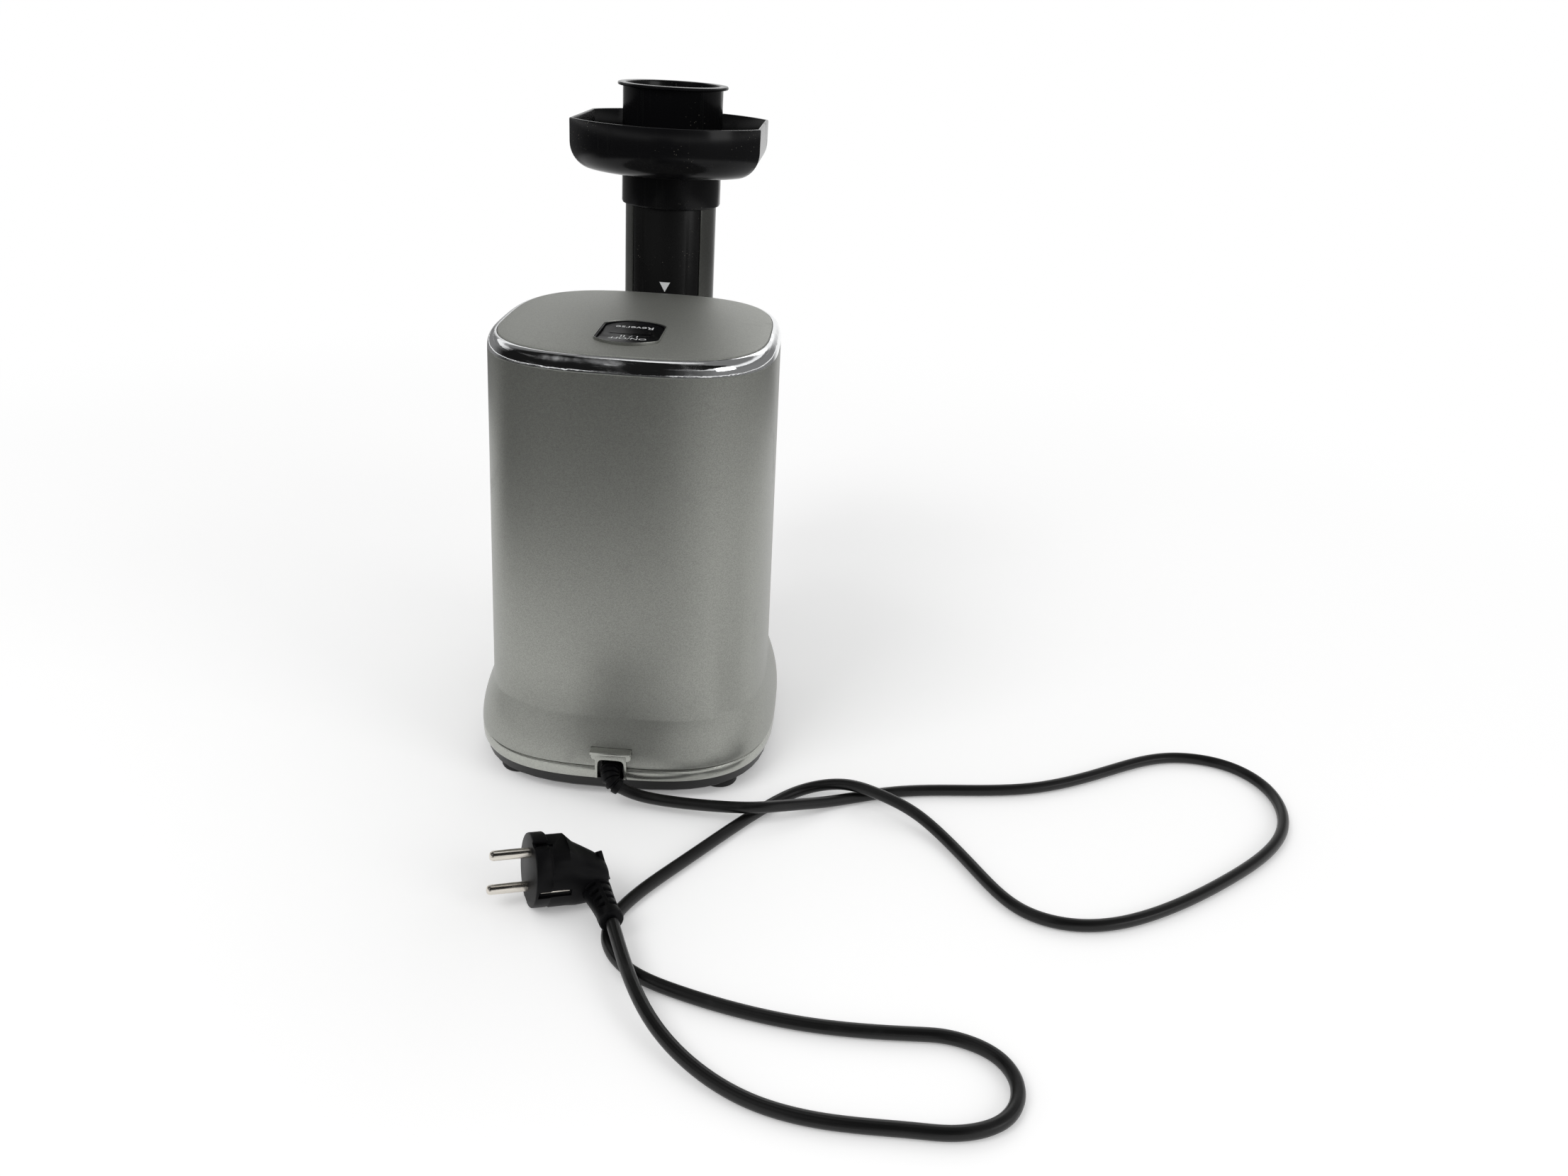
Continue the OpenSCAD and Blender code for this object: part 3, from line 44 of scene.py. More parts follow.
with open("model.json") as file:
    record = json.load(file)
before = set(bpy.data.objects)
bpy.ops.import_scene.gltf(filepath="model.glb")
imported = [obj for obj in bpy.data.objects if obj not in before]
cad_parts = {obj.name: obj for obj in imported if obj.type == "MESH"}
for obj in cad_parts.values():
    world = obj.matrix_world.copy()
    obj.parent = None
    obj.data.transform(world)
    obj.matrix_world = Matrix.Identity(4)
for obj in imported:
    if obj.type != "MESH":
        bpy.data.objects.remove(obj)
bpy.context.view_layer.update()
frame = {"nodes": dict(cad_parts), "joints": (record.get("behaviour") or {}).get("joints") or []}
JOINTS = {j["name"]: j for j in frame["joints"]}
MM = 0.001
AXIS_Y = JOINTS["drum_turn"]["pos_m"][1]
DRUM_Z = JOINTS["drum_turn"]["pos_m"][2]
HOUSE = (0, AXIS_Y / MM)  # the housing's axis in millimetres
SIDES = 96
HOUSE_SIDES = 2 * SIDES
SWITCH_SIDES = 144


def length(name, note, default, **more):
    return bpy.props.FloatProperty(name=name, description=note, default=default, **more)


def colour(name, note, default):
    return bpy.props.FloatVectorProperty(
        name=name, description=note, default=default, subtype="COLOR", size=3, min=0, max=1
    )


class HousingSizes(bpy.types.PropertyGroup):
    """Sizes of the motor housing, in millimetres"""

    half_foot: length("Half width at the foot", "From the middle to the side", 83.0)
    half_top: length("Half width at the top", "Under the chrome trim", 73.5)
    front_foot: length("Front reach at the foot", "From the housing axis", 90.0)
    front_top: length("Front reach at the top", "Under the chrome trim", 82.4)
    rear_foot: length("Rear reach at the foot", "From the housing axis", 83.0)
    rear_top: length("Rear reach at the top", "Under the chrome trim", 71.7)
    foot_z: length("Lower edge", "Height of the shell's lower edge", 20.0)
    lip: length("Lip", "Height of the rounded lip of the foot", 0.5)
    flare_out: length("Flare", "How far the foot flares out", 6.3)
    flare_h: length("Flare height", "Height of the flare above the lip", 27.0)
    trim_z: length("Trim height", "Lower edge of the chrome trim", 230.5)
    trim_h: length("Trim rise", "Height of the chrome trim", 7.3)
    trim_in: length("Trim lean", "How far the trim leans inwards", 4.2)
    wall: length("Wall", "Thickness of the moulded wall", 2.8)
    crown: length("Crown", "Rise of the panel's middle over its rim", 2.3)
    bezel_w: length("Bezel width", "Across the switch", 31.7)
    bezel_l: length("Bezel length", "Along the switch", 46.2)
    bezel_back: length("Bezel place", "From the housing axis to the switch", 27.0)


class FeedSizes(bpy.types.PropertyGroup):
    """Sizes of the feed tube, its tray and its pusher, in millimetres"""

    tube_y: length("Tube distance", "From the housing axis to the tube", 119.1)
    tube_r: length("Tube radius", "Over the silver cover", 26.5)
    tube_top: length("Tube top", "Height of the tube's upper end", 302.0)
    bore_r: length("Bore radius", "Of the feed tube", 23.2)
    tray_r: length("Tray radius", "At the two round ends", 62.5)
    tray_half: length("Tray half width", "At the two straight sides", 53.0)
    tray_h: length("Tray height", "From the tube's end to the rim", 27.5)
    tray_round: length("Tray rounding", "Radius of the tray's lower edge", 15.0)
    tray_floor: length("Tray floor", "Thickness of the tray's floor", 2.4)
    collar_l: length("Collar length", "Of the collar under the tray", 19.5)


class CordSizes(bpy.types.PropertyGroup):
    """Sizes of the mains cord, in metres"""

    diameter: length("Diameter", "Of the round cord", 0.0062, unit="LENGTH")


class Finishes(bpy.types.PropertyGroup):
    """Colours of the juicer's finishes"""

    lacquer: colour("Silver lacquer", "Of the moulded housing", (0.328, 0.334, 0.308))
    black: colour("Black", "Of the glossy plastic", (0.0045, 0.0045, 0.005))
    mark: colour("Marks", "Printed marks", (0.75, 0.76, 0.76))


SETTINGS = {
    "juicer_housing": HousingSizes,
    "juicer_feed": FeedSizes,
    "juicer_cord": CordSizes,
    "juicer_finishes": Finishes,
}


def setting(name):
    return getattr(bpy.context.scene, "juicer_" + name)


# Outlines: each takes a share of the way round and gives a point in millimetres


def superellipse(share, power):
    """Point of a unit circle that is squared the more the higher the power."""
    c, s = math.cos(math.tau * share), math.sin(math.tau * share)
    return math.copysign(abs(c) ** (2 / power), c), math.copysign(abs(s) ** (2 / power), s)


def squared(half, front, rear, power=3.0):
    """Rounded square whose front and rear reach differ."""

    def point(share):
        x, y = superellipse(share, power)
        return half * x, (front if y > 0 else rear) * y

    return point


def pad(x0, x1, y0, y1, power=2.6):
    """Rounded rectangle between its reaches on both axes."""

    def point(share):
        x, y = superellipse(share, power)
        return (x0 + x1) / 2 + (x1 - x0) / 2 * x, (y0 + y1) / 2 + (y1 - y0) / 2 * y

    return point


def round_outline(r):
    return lambda share: (r * math.cos(math.tau * share), r * math.sin(math.tau * share))


TRAY_SIDE = 8 / SIDES  # share of the way from the middle of a straight side to its end


def tray_outline(half_way):
    """Outline of two equal halves, from the points of the half round the first side."""

    def point(share):
        share = (share + 0.25) % 1.0 - 0.25
        flip = share > 0.25
        x, y = half_way(share - 0.5 if flip else share)
        return (-x, -y) if flip else (x, y)

    return point


def past_side(share, corner):
    """Angle of a point past the straight side, whose end is at the corner's angle."""
    turn = (abs(share) - TRAY_SIDE) / (0.25 - TRAY_SIDE)
    return corner + turn * (math.pi / 2 - corner)


def cut_round(r, half):
    """Circle cut off by two straight sides; the straight runs keep the same shares."""
    corner = math.acos(min(1.0, half / r))

    def half_way(share):
        if abs(share) <= TRAY_SIDE:
            return half, share / TRAY_SIDE * r * math.sin(corner)
        angle = past_side(share, corner)
        return r * math.cos(angle), math.copysign(r * math.sin(angle), share)

    return tray_outline(half_way)


def tray_circle(r):
    """Full circle with the same shares as the cut one."""
    feed = setting("feed")
    corner = math.acos(feed.tray_half / feed.tray_r)

    def half_way(share):
        if abs(share) <= TRAY_SIDE:
            angle = share / TRAY_SIDE * corner
        else:
            angle = math.copysign(past_side(share, corner), share)
        return r * math.cos(angle), r * math.sin(angle)

    return tray_outline(half_way)


def switch_outline(w, l):
    """Straight sides, bulging ends and rounded corners between them."""
    bulge, corner = w * 0.25, w * 0.15
    r = (w * w / 4 + bulge * bulge) / (2 * bulge)
    k = l / 2 - r
    x0 = w / 2 - corner
    y0 = k + math.sqrt((r - corner) ** 2 - x0 * x0)
    side = math.atan2(y0, w / 2)
    end = math.atan2(k + r * (y0 - k) / (r - corner), r * x0 / (r - corner))

    def point(share):
        c, s = math.cos(math.tau * share), math.sin(math.tau * share)
        angle = math.atan2(abs(s), abs(c))
        if angle <= side:
            reach = w / 2 / abs(c)
        else:
            x, y, turn = (x0, y0, corner) if angle < end else (0.0, k, r)
            along = abs(c) * x + abs(s) * y
            reach = along + math.sqrt(along * along - x * x - y * y + turn * turn)
        return reach * c, reach * s

    return point


def bezel_outline(grow):
    """Outline of the switch's bezel, grown on both axes."""
    h = setting("housing")
    return switch_outline(h.bezel_w + grow, h.bezel_l + grow)


def reaches(end):
    """Half width, front reach and rear reach of the housing at its foot or top."""
    return [getattr(setting("housing"), f"{side}_{end}") for side in ("half", "front", "rear")]


def plan_at(z, inset=0.0):
    """Plan of the housing at a height, moved inwards."""
    h = setting("housing")
    bulge = h.foot_z + h.lip
    if z <= bulge:
        return squared(*(foot - inset for foot in reaches("foot")))
    rise = (z - bulge) / (h.trim_z - bulge)
    flare = 0.0
    if z < bulge + h.flare_h:
        flare = h.flare_out * math.cos(math.pi / 2 * (z - bulge) / h.flare_h)
    lean = [
        foot - h.flare_out + (top - foot + h.flare_out) * rise + flare - inset
        for foot, top in zip(reaches("foot"), reaches("top"))
    ]
    return squared(*lean)


def top_plan(inset):
    """Plan of the housing under the chrome trim, moved inwards."""
    return squared(*(top - inset for top in reaches("top")))


def quarter(steps):
    """Sine and cosine at even steps of a quarter turn."""
    turns = [math.pi / 2 * step / steps for step in range(steps + 1)]
    return [(math.sin(turn), math.cos(turn)) for turn in turns]


def rear_face():
    """Y of the housing's rear face at the foot, in millimetres."""
    return HOUSE[1] - setting("housing").rear_foot


# Modelling helpers


def clear_selection():
    if bpy.context.mode != "OBJECT":
        bpy.ops.object.mode_set(mode="OBJECT")
    bpy.ops.object.select_all(action="DESELECT")


def pick(obj):
    clear_selection()
    obj.select_set(True)
    bpy.context.view_layer.objects.active = obj


def linked(name, data):
    """New object in the scene."""
    obj = bpy.data.objects.new(name, data)
    bpy.context.scene.collection.objects.link(obj)
    return obj


def made(name):
    """The object that the last operator made, with its name."""
    obj = bpy.context.object
    obj.name = obj.data.name = name
    return obj


def stacked(name, rings, sides=SIDES, joined=False, at=(0.0, 0.0)):
    """Extrudes a circle ring by ring; rings are (outline, height) in millimetres."""
    clear_selection()
    bpy.ops.mesh.primitive_circle_add(vertices=sides, radius=1.0, fill_type="NOTHING")
    obj = made(name)
    share = obj.data.attributes.new("share", "FLOAT", "POINT")
    for vertex in obj.data.vertices:
        turn = math.atan2(vertex.co.y, vertex.co.x) / math.tau
        share.data[vertex.index].value = round(turn * sides) / sides % 1.0
    bpy.ops.object.mode_set(mode="EDIT")
    bpy.ops.mesh.select_all(action="SELECT")
    for number, (outline, z) in enumerate(rings):
        if number:
            bpy.ops.mesh.extrude_region_move()
        bm = bmesh.from_edit_mesh(obj.data)
        layer = bm.verts.layers.float["share"]
        for vertex in bm.verts:
            if vertex.select:
                x, y = outline(vertex[layer])
                vertex.co = (x * MM + at[0] * MM, y * MM + at[1] * MM, z * MM)
        bmesh.update_edit_mesh(obj.data)
    bpy.ops.mesh.select_all(action="DESELECT")
    bpy.ops.mesh.select_mode(type="EDGE")
    bpy.ops.mesh.select_non_manifold()
    if joined:
        bpy.ops.mesh.bridge_edge_loops()
    else:
        bpy.ops.mesh.fill_holes(sides=0)
    bpy.ops.mesh.select_mode(type="VERT")
    bpy.ops.mesh.select_all(action="SELECT")
    bpy.ops.mesh.normals_make_consistent(inside=False)
    bpy.ops.object.mode_set(mode="OBJECT")
    obj.data.attributes.remove(obj.data.attributes["share"])
    return obj


def turned(name, profile, sides, at=(0.0, 0.0)):
    """Turned piece: its profile is (radius, height) in millimetres."""
    return stacked(name, [(round_outline(r), z) for r, z in profile], sides, at=at)


def modify(obj, kind, **values):
    pick(obj)
    modifier = obj.modifiers.new(kind.title(), kind)
    for key, value in values.items():
        setattr(modifier, key, value)
    bpy.ops.object.modifier_apply(modifier=modifier.name)


def cut(obj, cutter, operation="DIFFERENCE", keep=False):
    modify(obj, "BOOLEAN", object=cutter, operation=operation, solver="EXACT")
    if not keep:
        bpy.data.objects.remove(cutter)
    return obj


def soften(obj, width, angle=35):
    """Rounds the sharp edges by a width in millimetres."""
    modify(
        obj,
        "BEVEL",
        width=width * MM,
        segments=2,
        limit_method="ANGLE",
        angle_limit=math.radians(angle),
        use_clamp_overlap=True,
        harden_normals=False,
    )


def smooth(obj, angle):
    pick(obj)
    bpy.ops.object.shade_smooth_by_angle(angle=math.radians(angle), keep_sharp_edges=False)


def place(obj, matrix):
    """Moves a piece to its place and applies it to the mesh."""
    obj.matrix_world = matrix
    pick(obj)
    bpy.ops.object.transform_apply(location=True, rotation=True, scale=True)
    return obj


def block(name, low, high, width=0.0):
    """Cuboid between two corners in millimetres, with rounded edges."""
    clear_selection()
    size = [(b - a) * MM for a, b in zip(low, high)]
    middle = [(a + b) / 2 * MM for a, b in zip(low, high)]
    bpy.ops.mesh.primitive_cube_add(size=1.0, location=middle, scale=size)
    obj = made(name)
    bpy.ops.object.transform_apply(location=True, rotation=True, scale=True)
    if width:
        soften(obj, width, 30)
    return obj


def join(name, *objs):
    clear_selection()
    for obj in objs:
        obj.select_set(True)
    bpy.context.view_layer.objects.active = objs[0]
    bpy.ops.object.join()
    return made(name)


def finish(obj, look, body, node_name=None, *, angle):
    """Gives a piece its finish and its body, and hides the CAD node that it stands for."""
    if angle:
        smooth(obj, angle)
    obj.data.materials.clear()
    obj.data.materials.append(MATERIALS[look])
    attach(obj, body)
    if node_name:
        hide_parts(node_name)
    return obj


def dressed(name, look, body, width=0.0, angle=35):
    """Merged and smoothed copy of a CAD node, with its sharp edges rounded."""
    obj = linked(name + "_look", frame["nodes"][name].data.copy())
    pick(obj)
    bpy.ops.object.mode_set(mode="EDIT")
    bpy.ops.mesh.select_all(action="SELECT")
    bpy.ops.mesh.remove_doubles(threshold=0.00001)
    bpy.ops.mesh.dissolve_limited(angle_limit=math.radians(0.6))
    bpy.ops.object.mode_set(mode="OBJECT")
    if width:
        soften(obj, width, 40)
    return finish(obj, look, body, name, angle=angle)


# Shader nodes


def wire(tree, target, inputs):
    """Sets a node's inputs: a socket is linked, anything else is a value."""
    for label, value in inputs.items():
        if isinstance(value, bpy.types.NodeSocket):
            tree.links.new(value, target.inputs[label])
        else:
            target.inputs[label].default_value = value


def node(tree, kind, inputs=None, **values):
    """New shader node; gives its outputs."""
    found = tree.nodes.new("ShaderNode" + kind)
    for key, value in values.items():
        setattr(found, key, value)
    wire(tree, found, inputs or {})
    return found.outputs


def maths(tree, operation, first, second, **values):
    return node(tree, "Math", {0: first, 1: second}, operation=operation, **values)["Value"]


def fade(tree, value, low, high, kind="SMOOTHSTEP"):
    """0 under the low value, 1 over the high one."""
    inputs = {"Value": value, "From Min": low, "From Max": high}
    return node(tree, "MapRange", inputs, interpolation_type=kind)["Result"]


def between(tree, factor, low, high):
    """Value that goes from low to high with the factor."""
    return node(tree, "MapRange", {"Value": factor, "To Min": low, "To Max": high})["Result"]


def tint(tree, factor, first, second):
    """Colour that goes from the first, or its socket, to the second with the factor."""
    if not isinstance(first, bpy.types.NodeSocket):
        first = (*first, 1.0)
    inputs = {0: factor, 6: first, 7: (*second, 1.0)}
    return node(tree, "Mix", inputs, data_type="RGBA")[2]


def show(tree, surface_socket):
    wire(tree, tree.nodes["Material Output"], {"Surface": surface_socket})


# Effects: groups of nodes that take a place and give masks or heights


def new_group(name, results, **numbers):
    """Empty group with a Vector input and numbers; gives its tree, input and output."""
    group = bpy.data.node_groups.new(name, "ShaderNodeTree")
    group.interface.new_socket("Vector", in_out="INPUT", socket_type="NodeSocketVector")
    for label, default in numbers.items():
        kind = "NodeSocketVector" if isinstance(default, tuple) else "NodeSocketFloat"
        socket = group.interface.new_socket(label, in_out="INPUT", socket_type=kind)
        socket.default_value = default
    for label in results:
        group.interface.new_socket(label, in_out="OUTPUT", socket_type="NodeSocketFloat")
    given = group.nodes.new("NodeGroupInput").outputs
    return group, given, group.nodes.new("NodeGroupOutput")


def texture(group, kind, given, **inputs):
    """Texture at the group's own Vector and Scale."""
    return node(group, kind, {"Vector": given["Vector"], "Scale": given["Scale"], **inputs})


def flake_group():
    """Fine speckles of a metallic lacquer: a mask round a half, and a height."""
    group, given, leave = new_group("Lacquer flakes", ["Mask", "Height"], Scale=2500.0)
    cells = texture(group, "TexVoronoi", given)
    noise = texture(group, "TexNoise", given, Detail=3.0)
    mask = node(group, "SeparateColor", {"Color": cells["Color"]})["Red"]
    wire(group, leave, {"Mask": mask, "Height": fade(group, noise["Fac"], 0.3, 0.7, "LINEAR")})
    return group


def handling_group():
    """Smudges and dull patches of a handled surface, from 0 to 1."""
    group, given, leave = new_group("Handling marks", ["Mask"], Scale=22.0, Edge=0.55)
    noise = texture(group, "TexNoise", given, Detail=5.0, Roughness=0.62, Distortion=0.6)
    wire(group, leave, {"Mask": fade(group, noise["Fac"], given["Edge"], 0.8)})
    return group


def stretched(group, given):
    """Place that is stretched by the group's own factors."""
    inputs = {0: given["Vector"], 1: given["Stretch"]}
    return node(group, "VectorMath", inputs, operation="MULTIPLY")["Vector"]


def scratch_group():
    """Thin rubbed lines that run along one direction, from 0 to 1."""
    group, given, leave = new_group(
        "Rubbed lines", ["Mask"], Stretch=(900.0, 900.0, 14.0), Edge=0.62
    )
    spot = {"Vector": stretched(group, given), "Scale": 1.0, "Detail": 2.0}
    noise = node(group, "TexNoise", spot)
    wire(group, leave, {"Mask": fade(group, noise["Fac"], given["Edge"], 0.8, "LINEAR")})
    return group


def grain_group():
    """Fine moulded grain or machined grain as a height."""
    group, given, leave = new_group(
        "Surface grain", ["Height"], Stretch=(1.0, 1.0, 1.0), Scale=1400.0
    )
    spot = {"Vector": stretched(group, given), "Scale": given["Scale"], "Detail": 4.0}
    wire(group, leave, {"Height": node(group, "TexNoise", spot)["Fac"]})
    return group


def dust_group():
    """Sparse pale specks and crumbs, from 0 to 1."""
    group, given, leave = new_group("Dust specks", ["Mask"], Scale=420.0, Size=0.1)
    cells = texture(group, "TexVoronoi", given)
    speck = maths(group, "LESS_THAN", cells["Distance"], given["Size"])
    patch = node(group, "TexNoise", {"Vector": given["Vector"], "Scale": 45.0})
    where = fade(group, patch["Fac"], 0.55, 0.62, "LINEAR")
    wire(group, leave, {"Mask": maths(group, "MULTIPLY", speck, where)})
    return group


GROUPS = {}


def effect(tree, name, coords, **values):
    placed = tree.nodes.new("ShaderNodeGroup")
    placed.node_tree = GROUPS[name]
    wire(tree, placed, {"Vector": coords, **values})
    return placed.outputs[0]


# Finishes


def surface(name, base, roughness, metallic=0.0):
    """Principled material; gives its tree, its shader and the Object coordinates."""
    material = bpy.data.materials.new(name)
    material.use_nodes = True
    material.diffuse_color = (*base, 1.0)
    tree = material.node_tree
    shader = tree.nodes["Principled BSDF"]
    wire(
        tree, shader, {"Base Color": (*base, 1.0), "Roughness": roughness, "Metallic": metallic}
    )
    return material, tree, shader, node(tree, "TexCoord")["Object"]


def dress_shader(tree, shader, height, distance, **inputs):
    """Links a bump of a distance in metres, and further inputs, to the shader."""
    bump = node(tree, "Bump", {"Height": height, "Distance": distance})
    wire(tree, shader, {"Normal": bump["Normal"]})
    wire(tree, shader, {label.replace("_", " "): value for label, value in inputs.items()})


def silver_lacquer(name, base, roughness, metallic=0.86):
    material, tree, shader, coords = surface(name, base, roughness, metallic)
    flakes = effect(tree, "flakes", coords, Scale=3200.0)
    marks = effect(tree, "handling", coords, Scale=26.0, Edge=0.6)
    pale = tuple(min(1.0, c * 1.16) for c in base)
    dark = tuple(c * 0.84 for c in base)
    tone = tint(tree, flakes, dark, pale)
    dress_shader(
        tree,
        shader,
        flakes.node.outputs["Height"],
        0.000012,
        Base_Color=tint(tree, between(tree, marks, 0.0, 0.35), tone, (0.2, 0.2, 0.19)),
        Roughness=between(tree, marks, roughness, roughness + 0.14),
    )
    return material


def bright_metal(name, base, roughness):
    material, tree, shader, coords = surface(name, base, roughness, 1.0)
    lines = effect(tree, "scratches", coords, Stretch=(60.0, 60.0, 700.0), Edge=0.6)
    marks = effect(tree, "handling", coords, Scale=40.0, Edge=0.5)
    worn = maths(tree, "ADD", lines, marks, use_clamp=True)
    dress_shader(
        tree,
        shader,
        effect(tree, "grain", coords, Scale=70.0),
        0.00025,
        Roughness=between(tree, worn, roughness, roughness + 0.3),
    )
    return material


def machined_metal(name, base, roughness, stretch):
    material, tree, shader, coords = surface(name, base, roughness, 1.0)
    grain = effect(tree, "grain", coords, Stretch=stretch, Scale=900.0)
    marks = effect(tree, "handling", coords, Scale=60.0, Edge=0.5)
    dress_shader(
        tree,
        shader,
        grain,
        0.00002,
        Base_Color=tint(tree, marks, base, tuple(c * 0.7 for c in base)),
        Roughness=between(tree, grain, roughness - 0.1, roughness + 0.15),
    )
    return material


def gloss_black(name, base, roughness, specular=0.15):
    material, tree, shader, coords = surface(name, base, roughness)
    lines = effect(tree, "scratches", coords, Stretch=(700.0, 700.0, 18.0), Edge=0.62)
    dust = effect(tree, "dust", coords, Scale=520.0, Size=0.13)
    marks = effect(tree, "handling", coords, Scale=30.0, Edge=0.45)
    tone = tint(tree, between(tree, lines, 0.0, 0.3), base, (0.02, 0.02, 0.019))
    dull = between(tree, marks, roughness, roughness + 0.18)
    dress_shader(
        tree,
        shader,
        lines,
        0.00001,
        Specular_IOR_Level=specular,
        Base_Color=tint(tree, between(tree, dust, 0.0, 0.4), tone, (0.2, 0.19, 0.16)),
        Roughness=maths(tree, "ADD", dull, between(tree, dust, 0.0, 0.5), use_clamp=True),
    )
    return material


def moulded(
    name, base, roughness, scale=1400.0, depth=0.00003, worn=(0.04, 0.04, 0.039), specular=0.35
):
    """Moulded plastic or rubber with a fine grain and paler rubbed places."""
    material, tree, shader, coords = surface(name, base, roughness)
    marks = effect(tree, "handling", coords, Scale=34.0, Edge=0.5)
    dress_shader(
        tree,
        shader,
        effect(tree, "grain", coords, Scale=scale),
        depth,
        Specular_IOR_Level=specular,
        Base_Color=tint(tree, between(tree, marks, 0.0, 0.35), base, worn),
        Roughness=between(tree, marks, roughness, roughness + 0.12),
    )
    return material


MATERIALS = {}


def make_materials():
    colours = setting("finishes")
    black = tuple(colours.black)
    mark = tuple(colours.mark)
    pale, cord_worn, plug_worn = (0.5,) * 3, (0.02,) * 3, (0.008,) * 3

    def shade(share):
        return tuple(c * share for c in colours.lacquer)

    GROUPS.update(
        flakes=flake_group(),
        handling=handling_group(),
        scratches=scratch_group(),
        grain=grain_group(),
        dust=dust_group(),
    )
    MATERIALS.update(
        lacquer=silver_lacquer("Silver lacquer", shade(1.0), 0.36),
        panel=silver_lacquer("Panel lacquer", shade(0.97), 0.48, 0.65),
        # painted shade: the tube cover's lacquer is the housing lacquer darkened to a third,
        # standing for the shade on the tube
        cover=silver_lacquer("Cover lacquer, painted shade", shade(0.33), 0.3),
        # painted highlight: the band's lacquer is the housing lacquer lightened 1.3 times, standing
        # for the light it catches
        band=silver_lacquer("Band lacquer, painted highlight", shade(1.3), 0.24),
        chrome=bright_metal("Chrome plating", (0.82, 0.83, 0.84), 0.05),
        nickel=bright_metal("Nickel plating", (0.72, 0.68, 0.62), 0.16),
        gloss=gloss_black("Gloss black", black, 0.18),
        rocker=gloss_black("Rocker black", black, 0.3, 0.08),
        strip=gloss_black("Strip black", (0.006,) * 3, 0.26),
        satin=moulded("Satin black", (0.008,) * 3, 0.38),
        rubber=moulded("Foot rubber", (0.012,) * 3, 0.7, 900.0, 0.00006),
        cord=moulded("Cord rubber", (0.004,) * 3, 0.3, 1600.0, 0.00002, cord_worn),
        plug=moulded(
            "Plug rubber", (0.0025, 0.0025, 0.003), 0.42, 1500.0, 0.00003, plug_worn, 0.12
        ),
        mark=moulded("Printed mark", mark, 0.5, 2500.0, 0.000005, pale),
        grey=moulded("Grey plastic", (0.06, 0.06, 0.063), 0.5, worn=(0.12, 0.12, 0.12)),
        natural=moulded("Natural plastic", (0.62, 0.6, 0.5), 0.4, worn=(0.5, 0.48, 0.4)),
        board=moulded("Board lacquer", (0.01, 0.09, 0.03), 0.3, worn=(0.03, 0.12, 0.05)),
        steel=machined_metal("Turned steel", (0.5, 0.5, 0.51), 0.32, (1.0, 1.0, 20.0)),
        zinc=machined_metal("Cast zinc", (0.4, 0.41, 0.42), 0.5, (1.0, 1.0, 1.0)),
        brass=machined_metal("Brass", (0.72, 0.5, 0.2), 0.3, (1.0, 1.0, 12.0)),
        copper=machined_metal("Lacquered wire", (0.6, 0.26, 0.1), 0.35, (1.0, 24.0, 24.0)),
    )


# Pieces


def entry_notch():
    """Cutter for the opening in the rear through which the cord leaves."""
    rear = rear_face()
    return block("notch", (-8.5, rear - 6, 10), (8.5, rear + 5, 29))


class JUICER_OT_housing(bpy.types.Operator):
    """Moulded housing shell with its lip and flared foot"""

    bl_idname = "juicer.housing"
    bl_label = "Housing shell"

    socket_r = 49.1
    socket_deep = 92

    def execute(self, context):
        h = setting("housing")
        bulge = h.foot_z + h.lip
        upper = h.trim_z - bulge - h.flare_h
        rings = [
            (plan_at(0, 1.2 * (1 - s)), h.foot_z + h.lip * (1 - c)) for s, c in quarter(6)
        ]
        heights = [bulge + h.flare_h * s / 16 for s in range(1, 17)]
        heights += [bulge + h.flare_h + upper * s / 8 for s in range(1, 9)]
        rings += [(plan_at(z), z) for z in heights[:-1]]
        rings += [(plan_at(h.trim_z), h.trim_z - 0.35), (plan_at(h.trim_z, 0.35), h.trim_z)]
        inner = reversed([bulge, *heights[::4], h.trim_z])
        rings += [(plan_at(z, h.wall), z) for z in inner]
        rings.append((plan_at(0, h.wall), h.foot_z))
        shell = stacked("housing_shell_look", rings, HOUSE_SIDES, True, HOUSE)
        bore = turned("bore", [(self.socket_r, -10), (self.socket_r, self.socket_deep)], 96)
        ahead = Matrix.Rotation(-math.pi / 2, 4, "X")
        place(bore, Matrix.Translation((0, AXIS_Y, DRUM_Z)) @ ahead)
        cut(shell, bore)
        cut(shell, entry_notch())
        rear = rear_face()
        cut(shell, block("eave_slot", (-10.9, rear - 6, 28.3), (10.9, rear + 2.5, 31.3)))
        finish(shell, "lacquer", "base", "housing_shell", angle=24)
        return {"FINISHED"}


